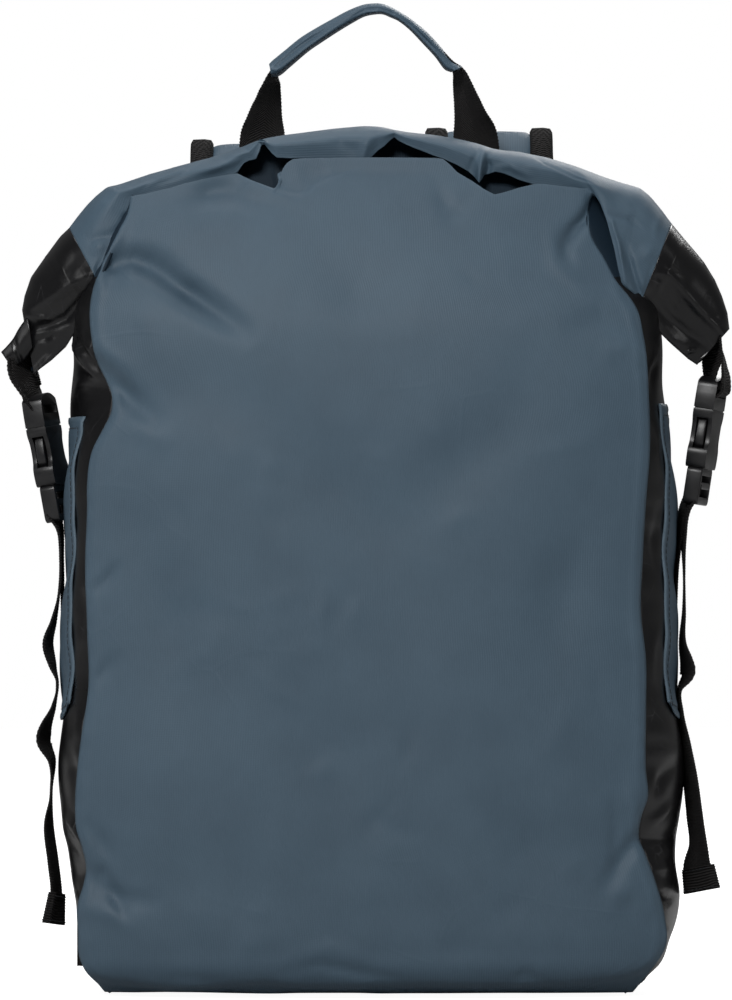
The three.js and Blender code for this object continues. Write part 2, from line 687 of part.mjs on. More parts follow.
const handleRoute = [
  foot(-1.02, footRow, handleLift, 0), foot(-1.02, footRow - 1, handleLift * 2, 0),
  ...handleRows.map(({ x, rise, turn }) => (
    { x: x * handleSpread, y: handleDepth, z: handleBase + rise * handleRise, turn })),
  foot(1.04, footRow - 1, handleLift * 2, 180), foot(1.04, footRow, handleLift, 180),
];
const spanSteps = 2;
const handleStations = strapStations(handleRoute, (handleRoute.length - 1) * spanSteps);
addPiece('handle_webbing', sweepGeometry(handleStations, () => band(webbingWidth, webbingWall)), 'webbing');

function sleeveRing({ centre, across, up }, width, height) {
  const corner = height * 0.3;
  const x = width / 2;
  const y = height / 2;
  return [
    [-x, -y + corner], [-x + corner, -y], [x - corner, -y], [x, -y + corner],
    [x, y - corner], [x - corner, y], [-x + corner, y], [-x, y - corner],
  ].map(([side, rise]) => centre.clone().addScaledVector(across, side).addScaledVector(up, rise));
}
const sleeved = handleStations.slice(sleeveRows.from * spanSteps, sleeveRows.to * spanSteps + 1);
const sleeveBore = webbingWidth + fit * 2;
addPiece('handle_sleeve', wallGeometry(
  sleeved.map((station) => sleeveRing(station, sleeveBore + sleeveWall * 2, sleeveHeight)),
  sleeved.map((station) => sleeveRing(station, sleeveBore, sleeveHeight - sleeveWall * 2)), true), 'blue');

// The shoulder straps: padded bands with a bound edge, sewn on the back panel behind the handle,
// arched over and hanging down the back. Depth is the stand-off behind the back panel and drop
// the way down from the arch, as shares of the pad's own stand-off and length.
const padRows = [
  { x: 1, off: -0.6, drop: 0.02 },
  { x: 1, off: -0.1, drop: -0.02 },
  { x: 1, off: 0.5, drop: -0.005 },
  { x: 1.01, off: 0.95, drop: 0.055 },
  { x: 1.03, off: 1.15, drop: 0.16 },
  { x: 1.06, off: 1.15, drop: 0.38 },
  { x: 1.12, off: 0.95, drop: 0.62 },
  { x: 1.2, off: 0.75, drop: 0.87 },
  { x: 1.24, off: 0.65, drop: 1 },
];
const padTop = rollHeight * 0.99;
const seatLift = 4.4;
const padRowSeat = { low: crestRow - 2, high: crestRow - 1 };
const lockWidth = webbingWidth + 7;
const lockLength = 28;
const lockWall = 3;
const tabLength = 12;
const tabSewn = 6;

// The lower webbing: rows of the back panel with width shares, and how far its tab stands out.
const lowerPlaces = {
  middle: { row: 5, x: 0.62 },
  bottom: { row: 3, x: 0.7 },
  sewn: { row: 3, x: 0.6 },
  corner: { row: 3, x: 0.88 },
  standOut: 0.09,
  swing: -5,
};

for (const [name, hand] of [['left', -1], ['right', 1]]) {
  const x = hand * padSpacing;
  const seatRow = (row) => {
    const place = backSeat(row, x / halfWidth, padThickness / 2 + seatLift);
    return { x: place.x, y: place.y, z: place.z, turn: 0 };
  };
  const stations = strapStations([
    seatRow(padRowSeat.low), seatRow(padRowSeat.high),
    ...padRows.map(({ x: out, off, drop }) => (
      { x: x * out, y: backDepth + off * padStandOff, z: padTop - drop * padLength, turn: 0 })),
  ], 18);
  const edge = padThickness * 0.3;
  const halfPad = padWidth / 2;
  const half = padThickness / 2;
  addPiece(`shoulder_strap_${name}`, sweepGeometry(stations, () => [
    [-halfPad, -half + edge], [-halfPad + edge, -half], [halfPad - edge, -half], [halfPad, -half + edge],
    [halfPad, half - edge], [halfPad - edge, half], [-halfPad + edge, half], [-halfPad, half - edge],
  ]), 'blue');

  // The binding runs down one edge, round the lower end and up the other edge.
  const rim = halfPad + fit + bindingWidth / 2;
  const last = stations[stations.length - 1];
  const shift = (station, sideways, onward) => station.centre.clone()
    .addScaledVector(station.across, sideways).addScaledVector(station.tangent, onward);
  const edgeOf = (sign) => stations.map((station) => ({
    centre: shift(station, sign * rim, 0),
    across: station.across.clone().multiplyScalar(sign),
    up: station.up,
  }));
  const cornerOf = (sign) => ({
    centre: shift(last, sign * rim, fit + bindingWidth / 2),
    across: last.across.clone().multiplyScalar(sign).add(last.tangent),
    up: last.up,
  });
  const binding = [...edgeOf(1), cornerOf(1), cornerOf(-1), ...edgeOf(-1).reverse()];
  addPiece(`strap_binding_${name}`,
    sweepGeometry(binding, () => band(bindingWidth, padThickness + 1)), 'webbing');

  // The strap adjuster hangs on a short tab, and its webbing runs down to the bottom corner.
  const lock = slotHole(slotLength, barWidth, barWidth + slotWidth);
  const lockShape = rounded(lockWidth, lockLength, barWidth * 0.8);
  const second = lockLength - barWidth - slotWidth;
  lockShape.holes.push(lock, slotHole(slotLength, second, second + slotWidth));
  const lockPiece = addPiece(`ladder_lock_${name}`, flat(lockShape, lockWall), 'plastic');
  const down = last.tangent;
  const start = fit * 2 + bindingWidth;
  const lockTop = start + tabLength;
  const lockPlace = last.centre.clone().addScaledVector(down, lockTop);
  lockPiece.position.copy(lockPlace).addScaledVector(last.up, -lockWall / 2);
  lockPiece.quaternion.setFromRotationMatrix(new THREE.Matrix4().makeBasis(
    down.clone().cross(last.up), down, last.up));
  const lockFace = lockWall / 2 + fit + webbingWall / 2;
  const onLock = (onward, face) => {
    const point = shift(last, 0, onward).addScaledVector(last.up, face);
    return { x: point.x, y: point.y, z: point.z, turn: 0 };
  };
  addWebbing(`strap_tab_${name}`, [
    onLock(start, lockFace), onLock(start + tabSewn, lockFace),
    onLock(lockTop + barWidth + slotWidth, lockFace),
  ], 4);
  const lowerSeat = ({ row, x: share }, lift) => backSeat(row, hand * share, lift);
  const bottom = lowerSeat(lowerPlaces.bottom, webbingWall * 3);
  const middle = lowerSeat(lowerPlaces.middle, padStandOff * 0.3);
  const swing = hand * lowerPlaces.swing;
  addWebbing(`lower_webbing_${name}`, [
    onLock(lockTop + lockLength * 0.45, lockFace + fit),
    onLock(lockTop + lockLength + tabSewn, lockFace + fit * 2),
    { x: middle.x, y: middle.y, z: middle.z, turn: swing * 0.5 },
    { x: bottom.x, y: bottom.y, z: bottom.z, turn: swing },
  ], 12);

  // The tab that holds this webbing is sewn at the bottom corner and stands out past the side.
  const sewn = lowerSeat(lowerPlaces.sewn, webbingWall * 1.75);
  const corner = lowerSeat(lowerPlaces.corner, webbingWall * 1.75);
  const tab = [sewn, corner, corner.clone().add(vec(hand * lowerPlaces.standOut * halfWidth, 0, 0))];
  addPiece(`lower_anchor_${name}`, sweepGeometry(
    strapStations(tab.map((point) => ({ x: point.x, y: point.y, z: point.z, turn: 90 })), 4)
      .map((station) => ({ ...station, across: vec(0, 0, 1), up: vec(0, 1, 0) })),
    () => band(webbingWidth, webbingWall)), 'webbing');
}

export default bag;
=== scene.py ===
# The backpack as the camera sees it: one straight view of the front, taken from far away with a
# long lens, so that a millimetre is nearly the same size on the whole bag. The photograph's
# columns and rows, turned into places at a known depth, give every outline of the front.
import math

import bmesh
import bpy
import numpy as np
from mathutils import Matrix, Vector
from mathutils.bvhtree import BVHTree


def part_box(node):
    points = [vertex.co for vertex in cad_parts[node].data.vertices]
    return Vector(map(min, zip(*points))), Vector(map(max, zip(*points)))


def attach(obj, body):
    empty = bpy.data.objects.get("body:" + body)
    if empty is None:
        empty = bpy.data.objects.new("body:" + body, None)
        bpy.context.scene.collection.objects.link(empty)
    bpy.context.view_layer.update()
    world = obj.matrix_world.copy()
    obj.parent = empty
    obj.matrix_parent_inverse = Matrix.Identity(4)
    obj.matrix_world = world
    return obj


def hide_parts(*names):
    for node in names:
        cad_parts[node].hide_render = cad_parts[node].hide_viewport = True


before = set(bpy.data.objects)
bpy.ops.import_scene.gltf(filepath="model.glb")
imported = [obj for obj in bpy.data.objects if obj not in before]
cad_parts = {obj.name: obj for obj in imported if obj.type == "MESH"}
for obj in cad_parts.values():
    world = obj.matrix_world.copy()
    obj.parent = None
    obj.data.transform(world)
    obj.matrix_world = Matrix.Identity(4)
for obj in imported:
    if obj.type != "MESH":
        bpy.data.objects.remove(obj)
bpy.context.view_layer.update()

sides = (("left", -1), ("right", 1))
front_plane = -0.035
eye_distance = 4.3333
eye_height = 0.2574
eye_across = 0.00026
picture_step = 0.00052
middle_column = 366
middle_row = 500


def put(name, data):
    """A new object in the scene."""
    made = bpy.data.objects.new(name, data)
    bpy.context.scene.collection.objects.link(made)
    return made


camera = put("camera", bpy.data.cameras.new("camera"))
camera.data.lens = 300
camera.data.sensor_fit = "VERTICAL"
camera.data.sensor_height = 36
camera.data.clip_end = 50
camera.location = (eye_across, front_plane - eye_distance, eye_height)
camera.rotation_euler = (math.pi / 2, 0, 0)
bpy.context.scene.camera = camera
bpy.context.scene.view_settings.view_transform = "Standard"


def seen(columns, rows, depth):
    """The places at a depth that the camera sees at these columns and rows of its picture."""
    depth = np.asarray(depth, float)
    scale = (eye_distance + depth - front_plane) / eye_distance
    across = eye_across + (np.asarray(columns, float) - middle_column) * picture_step * scale
    height = eye_height + (middle_row - np.asarray(rows, float)) * picture_step * scale
    return np.stack(np.broadcast_arrays(across, depth, height), axis=-1)


# The studio: a plain pale floor and soft lamps, the main one high in front and a little to the left,
# so that the upper half of the bag is lighter than its foot. Floor and air are white only where
# the camera looks straight at them, which keeps them from brightening the dark sides of the bag.
floor_reach = 5
floor_corners = 48
air_light = 0.1


def pale_floor():
    turns = [corner * 2 * math.pi / floor_corners for corner in range(floor_corners)]
    mesh = bpy.data.meshes.new("pale_floor")
    mesh.from_pydata([(floor_reach * math.cos(turn), floor_reach * math.sin(turn), 0) for turn in turns], [],
                     [tuple(range(floor_corners))])
    paper = bpy.data.materials.new("pale_paper")
    paper.use_nodes = True
    surface = paper.node_tree.nodes["Principled BSDF"]
    surface.inputs["Base Color"].default_value = (0.5, 0.5, 0.5, 1)
    surface.inputs["Roughness"].default_value = 0.9
    surface.inputs["Emission Strength"].default_value = 0.95
    ray = paper.node_tree.nodes.new("ShaderNodeLightPath")
    paper.node_tree.links.new(ray.outputs["Is Camera Ray"], surface.inputs["Emission Color"])
    mesh.materials.append(paper)
    return put("pale_floor", mesh)


pale_floor()


def lamp(name, place, target, size, power):
    light = bpy.data.lights.new(name, "AREA")
    light.shape = "RECTANGLE"
    light.size, light.size_y = size
    light.energy = power
    holder = put(name, light)
    holder.location = place
    away = np.array(place, float) - np.array(target, float)
    pitch = math.atan2(math.hypot(away[0], away[1]), away[2])
    holder.rotation_euler = (pitch, 0, math.atan2(away[0], -away[1]))


lamp("main_lamp", (-0.6, -2.4, 1.85), (0, 0, 0.28), (0.9, 0.7), 52)
lamp("left_lamp", (-2.4, -0.9, 0.9), (0, 0, 0.25), (0.7, 1.4), 8)
lamp("right_lamp", (2.5, -0.6, 1.1), (0, 0, 0.25), (0.5, 1.4), 5)
lamp("back_lamp", (0.7, 2.6, 1.7), (0, 0, 0.28), (1.2, 1), 24)
lamp("top_lamp", (0, 0.5, 2.4), (0, 0, 0.3), (1.6, 1.2), 22)

sky = bpy.data.worlds.new("studio")
bpy.context.scene.world = sky
sky.use_nodes = True
background = sky.node_tree.nodes["Background"]
background.inputs["Color"].default_value = (1, 1, 1, 1)
camera_ray = sky.node_tree.nodes.new("ShaderNodeLightPath")
strength = sky.node_tree.nodes.new("ShaderNodeMath")
strength.operation = "MULTIPLY_ADD"
strength.inputs[1].default_value = 1 - air_light
strength.inputs[2].default_value = air_light
sky.node_tree.links.new(camera_ray.outputs["Is Camera Ray"], strength.inputs[0])
sky.node_tree.links.new(strength.outputs[0], background.inputs["Strength"])


# The front of the bag: one panel of blue-grey coated polyester, cut wide at the shoulders, filled
# out by the load and sewn to the black sides. Its top folds back under the roll, where the cloth
# is gathered into pleats, and pulls hollows into both shoulders.
def on_curve(t, span, values, slopes, spot):
    """A smooth curve between two of its points, at a share t of the way."""
    return ((2 * t ** 3 - 3 * t ** 2 + 1) * values[spot] + (t ** 3 - 2 * t ** 2 + t) * span * slopes[spot]
            + (3 * t ** 2 - 2 * t ** 3) * values[spot + 1] + (t ** 3 - t ** 2) * span * slopes[spot + 1])


def run_along(points):
    """The length of a line up to each of its points."""
    return np.concatenate([[0], np.cumsum(np.linalg.norm(np.diff(points, axis=0), axis=1))])


def along(points, shares):
    """Points on a line through these points, at shares of its length."""
    points = np.array(points, float)
    knots = run_along(points)
    knots /= knots[-1]
    spot = np.clip(np.searchsorted(knots, shares, "right") - 1, 0, len(points) - 2)
    span = (knots[spot + 1] - knots[spot])[..., None]
    slopes = np.gradient(points, knots, axis=0)
    return on_curve((shares - knots[spot])[..., None] / span, span, points, slopes, spot)


def along_height(knots, values, heights):
    """A smooth curve through values at these heights."""
    spot = np.clip(np.searchsorted(knots, heights, "right") - 1, 0, len(knots) - 2)
    span = knots[spot + 1] - knots[spot]
    t = np.clip((heights - knots[spot]) / span, 0, 1)
    return on_curve(t, span, values, np.gradient(values, knots), spot)


def evened(values, times):
    """Values with their jumps smoothed away, where the two ends stay."""
    values = values.copy()
    for _ in range(times):
        values[1:-1] = (values[:-2] + 2 * values[1:-1] + values[2:]) / 4
    return values


def beside(places, line):
    """How far each place lies from a line, on which side of it, and at which share of its length."""
    line = np.array(line, float)
    steps = np.diff(line, axis=0)
    sizes = np.linalg.norm(steps, axis=1)
    nearest = np.full(places.shape[:-1], np.inf)
    side = np.zeros(places.shape[:-1])
    share = np.zeros(places.shape[:-1])
    for start, step, size, begun in zip(line[:-1], steps, sizes, run_along(line)):
        gap = places - start
        run = np.clip((gap @ step) / size ** 2, 0, 1)
        away = np.linalg.norm(gap - run[..., None] * step, axis=-1)
        closer = away < nearest
        nearest = np.where(closer, away, nearest)
        side = np.where(closer, np.sign(step[0] * gap[..., 1] - step[1] * gap[..., 0]), side)
        share = np.where(closer, (begun + run * size) / sizes.sum(), share)
    return nearest, side, share


def valley(places, line, width, depth, ends=(0, 0)):
    """A soft fold along a line: sunk by the depth, fading to these shares of it at its ends."""
    away, _, share = beside(places, line)
    return depth * np.interp(share, (0, 0.5, 1), (ends[0], 1, ends[1])) * np.exp(-(away / width) ** 2)


def step_down(places, line, width, depth, reach):
    """A layer's edge: the right of the line, as seen walking it, lies lower, fading with the reach."""
    away, side, share = beside(places, line)
    strength = np.sin(np.pi * np.clip(share, 0.02, 0.98)) ** 0.5
    low = 0.5 + 0.5 * np.tanh(side * away / width)
    return depth * strength * low * np.exp(-(away / reach) ** 2)


def smooth(mesh):
    mesh.polygons.foreach_set("use_smooth", np.ones(len(mesh.polygons), bool))


def read(items, name):
    """A property of three numbers for each item."""
    values = np.zeros(len(items) * 3)
    items.foreach_get(name, values)
    return values.reshape(-1, 3)


def lay_map(mesh, places):
    """The cloth's own map in metres, from a place for each point of the mesh."""
    corners = np.zeros(len(mesh.loops), np.int32)
    mesh.loops.foreach_get("vertex_index", corners)
    layer = mesh.uv_layers.new(name="cloth")
    layer.data.foreach_set("uv", places[corners].astype(np.float32).ravel())


def grid_mesh(name, grid, wrap=False):
    """A mesh over a grid of points, with its own map in metres along the cloth."""
    rows, columns = grid.shape[:2]
    order = np.arange(rows * columns).reshape(rows, columns)
    after = np.roll(order, -1, axis=1) if wrap else order[:, 1:]
    here = order if wrap else order[:, :-1]
    faces = np.stack([here[:-1], after[:-1], after[1:], here[1:]], axis=-1).reshape(-1, 4)
    mesh = bpy.data.meshes.new(name)
    mesh.from_pydata(grid.reshape(-1, 3).tolist(), [], faces.tolist())
    smooth(mesh)
    run = np.cumsum(np.linalg.norm(np.diff(grid, axis=1, prepend=grid[:, :1]), axis=-1), axis=1)
    rise = np.cumsum(np.linalg.norm(np.diff(grid, axis=0, prepend=grid[:1]), axis=-1), axis=0)
    lay_map(mesh, np.stack([run - run[:, columns // 2][:, None], rise], axis=-1).reshape(-1, 2))
    return put(name, mesh)


def mark_worn(piece, values):
    """How rubbed the cloth is at each point, kept with the mesh."""
    marks = piece.data.attributes.new("worn", "FLOAT", "POINT")
    marks.data.foreach_set("value", values.astype(np.float32).ravel())


def sheet_piece(name, grid, inside, worn=0.0):
    """An open sheet that faces away from a point inside."""
    piece = grid_mesh(name, grid)
    faces = piece.data.polygons
    if ((read(faces, "center") - inside) * read(faces, "normal")).sum() < 0:
        piece.data.flip_normals()
    mark_worn(piece, worn + np.zeros(grid.shape[:2]))
    return piece


def paint_shade_past_row(piece, first_row, columns):
    """The rows past a fold take the second material, the very dark blue painted as shade."""
    slots = np.zeros(len(piece.data.polygons), np.int32)
    slots[first_row * (columns - 1):] = 1
    piece.data.polygons.foreach_set("material_index", slots)


def apply_modifiers(piece):
    """Keeps what the modifiers make as the piece's own mesh."""
    view = bpy.context.evaluated_depsgraph_get()
    made = bpy.data.meshes.new_from_object(piece.evaluated_get(view))
    piece.modifiers.clear()
    old = piece.data
    piece.data = made
    bpy.data.meshes.remove(old)


def wall(piece, thickness, *materials):
    """Gives a sheet its thickness inwards, and its materials."""
    for material in materials:
        piece.data.materials.append(material)
    solid = piece.modifiers.new("cloth_wall", "SOLIDIFY")
    solid.thickness = thickness
    solid.offset = -1
    apply_modifiers(piece)


def belongs(piece, node=None):
    """Puts a piece on the bag's one body, and hides the CAD node that it replaces, if it has one."""
    if node:
        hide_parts(node)
    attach(piece, "root")


class Value:
    """One output of a shader, so that arithmetic on it adds the Math nodes."""

    def __init__(self, tree, socket):
        self.tree = tree
        self.socket = socket

    def maths(self, operation, *values):
        node = self.tree.nodes.new("ShaderNodeMath")
        node.operation = operation
        for inlet, value in zip(node.inputs, values):
            if isinstance(value, Value):
                self.tree.links.new(value.socket, inlet)
            else:
                inlet.default_value = value
        return Value(self.tree, node.outputs[0])

    def __add__(self, other):
        return self.maths("ADD", self, other)

    def __sub__(self, other):
        return self.maths("SUBTRACT", self, other)

    def __rsub__(self, other):
        return self.maths("SUBTRACT", other, self)

    def __mul__(self, other):
        return self.maths("MULTIPLY", self, other)

    def __truediv__(self, other):
        return self.maths("DIVIDE", self, other)

    __radd__ = __add__

    def sine(self):
        return self.maths("SINE", self)

    def clamped(self, low=0.0, high=1.0):
        return self.maths("MAXIMUM", self.maths("MINIMUM", self, high), low)


class Finish:
    """A material in the making: node() adds any node with its settings and its inputs."""

    def __init__(self, name, roughness, gloss=0.5):
        self.material = bpy.data.materials.new(name)
        self.material.use_nodes = True
        self.tree = self.material.node_tree
        self.surface = self.tree.nodes["Principled BSDF"]
        self.surface.inputs["Roughness"].default_value = roughness
        self.surface.inputs["Specular IOR Level"].default_value = gloss

    def node(self, kind, settings=None, inputs=None, output=0):
        node = self.tree.nodes.new("ShaderNode" + kind)
        for name, value in (settings or {}).items():
            setattr(node, name, value)
        for name, value in (inputs or {}).items():
            if isinstance(value, Value):
                self.tree.links.new(value.socket, node.inputs[name])
            else:
                node.inputs[name].default_value = value
        return Value(self.tree, node.outputs[output])

    def feed(self, socket, value):
        self.tree.links.new(value.socket, self.surface.inputs[socket])

    def place(self):
        """The place on the object, in metres."""
        return self.node("TexCoord", output=3)

    def cloth(self):
        """The place on the cloth's own map, in metres: all of it, across and along."""
        cloth = self.node("UVMap", {"uv_map": "cloth"})
        return cloth, *(self.node("SeparateXYZ", None, {"Vector": cloth}, axis) for axis in (0, 1))

    def blended(self, factor, first, second):
        """A colour between two, where each may be a plain colour or a node's."""
        return self.node("Mix", {"data_type": "RGBA"}, {0: factor, 6: first, 7: second}, 2)

    def noise(self, place, scale, detail=3.0, rough=0.5):
        return self.node("TexNoise", None,
                         {"Vector": place, "Scale": scale, "Detail": detail, "Roughness": rough})

    def bent(self, place, scale, amount):
        """A place shifted by a slow noise, so that straight patterns wander."""
        sway = self.node("TexNoise", None, {"Vector": place, "Scale": scale, "Detail": 1.0}, 1)
        shifted = self.node("VectorMath", {"operation": "SCALE"}, {0: sway, "Scale": amount})
        return self.node("VectorMath", {"operation": "ADD"}, {0: place, 1: shifted})

    def lines(self, place, scale, width):
        """Thin lines of this width between cells."""
        cells = self.node("TexVoronoi", {"feature": "DISTANCE_TO_EDGE"}, {"Vector": place, "Scale": scale})
        return 1 - (cells / width).clamped()

    def bump(self, height, strength, distance):
        self.feed("Normal", self.node(
            "Bump", None, {"Height": height, "Strength": strength, "Distance": distance}))


def waves(length):
    """Turns for each metre, for a pattern that repeats after this length."""
    return 2 * math.pi / length


def coated_cloth(name, deep, pale, roughness):
    """Tightly woven polyester under a matte coating: fine upright ribs, faint creases, soft mottling."""
    finish = Finish(name, roughness, 0.35)
    cloth, across, upwards = finish.cloth()
    place = finish.place()
    rib = (across * waves(0.00125) + finish.noise(cloth, 60, 2) * 1.6 * 2).sine()
    pick = (upwards * waves(0.0009)).sine()
    patchy = finish.noise(place, 26, 4, 0.6)
    ribbed = finish.noise(finish.node("Mapping", None, {"Vector": cloth, "Scale": (1, 0.14, 1)}), 900, 2)
    crease = finish.lines(finish.bent(place, 9, 0.03), 21, 0.03)
    crease = crease * (finish.noise(place, 11, 2) * 4 - 2.1).clamped()
    tone = (patchy * 1.5 - 0.25 + rib * 0.035 + (ribbed - 0.5) * 0.3 + crease * 0.12).clamped()
    worn = finish.node("Attribute", {"attribute_name": "worn"}, output=2)
    shade = finish.blended(tone, deep, pale)
    finish.feed("Base Color", finish.blended((worn * 0.5).clamped(), shade, (0.16, 0.215, 0.26, 1)))
    finish.feed("Roughness", roughness + (patchy - 0.5) * 0.12 - worn * 0.06)
    height = rib * 0.35 + pick * 0.12 + (ribbed - 0.5) * 0.8 + crease * 2.2 + (patchy - 0.5) * 1.5
    finish.bump(height, 0.16, 0.0005)
    return finish.material


blue_cloth = coated_cloth("blue_coated_cloth", (0.052, 0.087, 0.122, 1), (0.069, 0.113, 0.155, 1), 0.58)
# The same cloth painted very dark: painted shade for cloth that lies under the roll and in its gaps.
painted_shade_cloth = coated_cloth("blue_cloth_painted_shade", (0.004, 0.014, 0.026, 1), (0.006, 0.019, 0.034, 1), 0.7)
cloth_wall = 0.0018

# The front's outline as the camera sees it, from the foot up: the left seam and shoulder fold, the
# right seam with the open slit beside it, the foot from left to right, and the folded top edge.
left_seam = [
    (98, 984), (86, 972), (79.5, 958), (78, 935), (78, 902), (83, 886), (86, 870), (82, 848), (76, 828),
    (75, 812), (76.5, 777), (82, 731), (88, 691), (87, 630), (85, 564), (87, 507), (87, 483), (92, 451),
    (104, 427), (111, 412), (112, 396), (106, 380), (97, 362), (91, 335), (90, 306), (94, 285), (105, 261),
    (108.5, 252), (119, 230), (127.5, 213.5), (131, 196),
]
right_seam = [
    (647, 975), (658, 961), (666, 946), (665, 918), (656, 883), (645, 853), (639, 838), (641, 818),
    (648, 797), (646, 771), (646, 715), (646, 659), (641, 612), (643, 555), (646, 503), (650, 450),
    (650, 425), (649, 398), (644, 338), (636, 307), (623, 289), (619, 284.5), (605, 260), (590, 232),
    (588.5, 217), (591, 200), (595, 189),
]
foot_line = [
    (98, 984), (111, 987), (127, 988), (148, 992), (167, 995), (194, 995), (232, 991), (268, 988),
    (293, 992), (330, 993.5), (360, 993), (380, 990), (410, 991), (439, 991), (480, 992), (513, 992),
    (547, 990), (572, 989), (596, 987), (620, 984), (634, 980), (647, 975),
]
top_fold = [
    (131, 196), (144, 194), (169, 188), (186, 183), (207, 178.5), (225, 175.4), (237, 173.2), (251, 180),
    (266, 185.5), (275, 188.8), (278.6, 182), (281.5, 171), (286.5, 163.2), (293, 159), (303, 158.2),
    (340, 157.8), (371, 157.4), (410, 157.6), (436, 158), (443.3, 159), (451, 165.5), (457, 172),
    (472.4, 181.2), (485, 189.6), (494.6, 194.5), (503, 192.6), (518, 188), (533.6, 184.2), (544.3, 184),
    (570, 187), (584, 188.4), (595, 189),
]

# Heights above the floor with the depth of the panel's middle and of its seams, in millimetres.
front_form = [
    (0, -65, -50), (3, -72, -56), (10, -78, -61), (24, -80.5, -64), (48, -81.2, -64.8), (93, -82, -65.6),
    (142, -81.2, -65.6), (207, -79.5, -64), (266, -78, -62.5), (305, -76.3, -60.7), (330, -74, -59),
    (350, -71, -56), (372, -64, -49), (392, -56, -43), (408, -48.5, -38), (420, -42.5, -34),
    (430, -37.5, -31), (440, -34, -29),
]


def front_depth(heights, crown):
    """The depth of the filled front at each height, between its seams and its middle."""
    form = np.array(front_form, float)
    tall = np.asarray(heights, float) * 1000
    middle = along_height(form[:, 0], form[:, 1], tall)
    edge = along_height(form[:, 0], form[:, 2], tall)
    return (edge + (middle - edge) * crown) / 1000


# Hollows and pulled folds of the front: the line, its half width in picture steps, its depth in
# millimetres (a minus sign stands proud) and what is left of it at its ends.
front_valleys = [
    ([(116, 268), (134, 262), (160, 274), (196, 298), (240, 328), (256, 342)], 12, 10, (0.35, 0)),
    ([(112, 264), (130, 258), (152, 262), (182, 278)], 15, 5, (0.3, 0)),
    ([(122, 252), (112, 264), (120, 278)], 6, 1.6),
    ([(166, 198), (214, 192), (262, 204), (302, 212)], 13, 3, (0.2, 0.1)),
    ([(99, 304), (102, 264), (117, 238), (129, 214)], 6.5, -2.8, (0, 0.3)),
    ([(182, 214), (208, 198), (236, 182)], 14, 3.4, (0, 0.6)),
    ([(290, 178), (330, 173), (400, 174), (440, 176)], 10, 1.1, (0.3, 0.3)),
    ([(437, 186), (446, 206), (456, 222)], 9, 1.5, (0.3, 0.2)),
    ([(472, 196), (458, 212), (446, 224)], 8, 1.1, (0.3, 0.2)),
    ([(594, 202), (586, 216), (573, 232), (565.5, 245), (566, 256), (577, 269)], 6, 4.6, (1, 0)),
    ([(612, 300), (580, 285), (556, 262), (552, 236), (566, 214)], 9, -1.3, (0.2, 0)),
    ([(640, 330), (600, 318), (560, 330)], 14, 1.8, (0.5, 0)),
    ([(646, 362), (626, 348), (612, 350), (600, 366)], 9, -1.2, (0.5, 0)),
    ([(98, 364), (114, 382), (133, 400), (152, 420)], 10.5, 6, (0.8, 0.3)),
    ([(92, 338), (108, 356), (134, 376)], 9, -1.8, (0.4, 0)),
    ([(112, 432), (140, 426), (176, 446)], 13, -2, (0.3, 0)),
    ([(96, 588), (106, 582), (122, 560)], 6, 1.8, (0.6, 0)),
    ([(96, 680), (106, 672), (118, 650)], 7, 1.6, (0.5, 0)),
    ([(86, 826), (100, 838), (118, 868)], 8, 2, (0.6, 0)),
    ([(90, 876), (104, 890), (128, 900), (165, 903)], 9, 2.6, (1, 0)),
    ([(82, 908), (108, 914), (140, 930)], 8, -1.6, (0.5, 0)),
    ([(600, 890), (612, 874), (626, 852), (640, 838)], 8, 3.6, (0, 1)),
    ([(613, 790), (615, 836), (612, 880)], 6, 1.5),
    ([(630, 760), (633, 800), (634, 832)], 7, -1.2, (0, 0.3)),
    ([(648, 906), (632, 888), (618, 896), (606, 922)], 10, -1.6, (0.6, 0)),
    ([(155, 985), (180, 978), (214, 982), (251, 982)], 3.5, 1.2),
    ([(262, 978), (290, 970), (320, 965), (360, 972), (400, 980), (439, 989)], 5, 2),
    ([(280, 958), (330, 950), (380, 958)], 9, -1.2),
    ([(500, 986), (525, 974), (547, 984), (566, 980)], 5, 1.6),
    ([(180, 360), (280, 430), (380, 540), (440, 660)], 40, 3.4),
    ([(560, 330), (500, 430), (420, 500), (330, 540)], 36, 2.8),
    ([(600, 470), (560, 600), (540, 720)], 30, 2.6),
    ([(130, 500), (170, 620), (180, 760)], 30, 2.8),
    ([(260, 640), (330, 760), (360, 880)], 38, 2.5),
    ([(480, 780), (520, 850), (560, 930)], 30, 2.1),
    ([(300, 250), (360, 290), (420, 300)], 30, 2.2),
    ([(104, 872), (112, 888), (122, 910), (130, 926)], 6, 2.6, (0.8, 0)),
]

front_layer = [
    (334, 177), (324, 180.5), (314, 186), (307, 192), (300, 195.5), (291, 194), (278, 190), (266, 185.5),
    (252, 181),
]
front_columns = 206
upwards = np.concatenate([np.linspace(0, 0.955, 160), np.linspace(0.955, 1, 29)[1:-1], [0.9998, 1]])
front_rows = len(upwards)
closing_start = 0.965
crosswise = np.linspace(0, 1, front_columns)
left_line = along(left_seam, upwards)[:, None]
right_line = along(right_seam, upwards)[:, None]
low_line = along(foot_line, crosswise)[None]
fold = np.array(top_fold, float)
high_columns = fold[0, 0] + (fold[-1, 0] - fold[0, 0]) * crosswise
high_rows = np.interp(high_columns, fold[:, 0], fold[:, 1])
even_rows = evened(high_rows, 60)
rise = upwards[:, None, None]
share = crosswise[None, :, None]
closing = np.clip((upwards[:, None] - closing_start) / (1 - closing_start), 0, 1)
high_line = np.stack(np.broadcast_arrays(
    high_columns[None], even_rows[None] + (high_rows - even_rows)[None] * closing ** 1.5), axis=-1)
picture = ((1 - share) * left_line + share * right_line + (1 - rise) * low_line + rise * high_line
           - (1 - rise) * (1 - share) * np.array(left_seam[0]) - (1 - rise) * share * np.array(right_seam[0])
           - rise * (1 - share) * np.array(left_seam[-1]) - rise * share * np.array(right_seam[-1]))

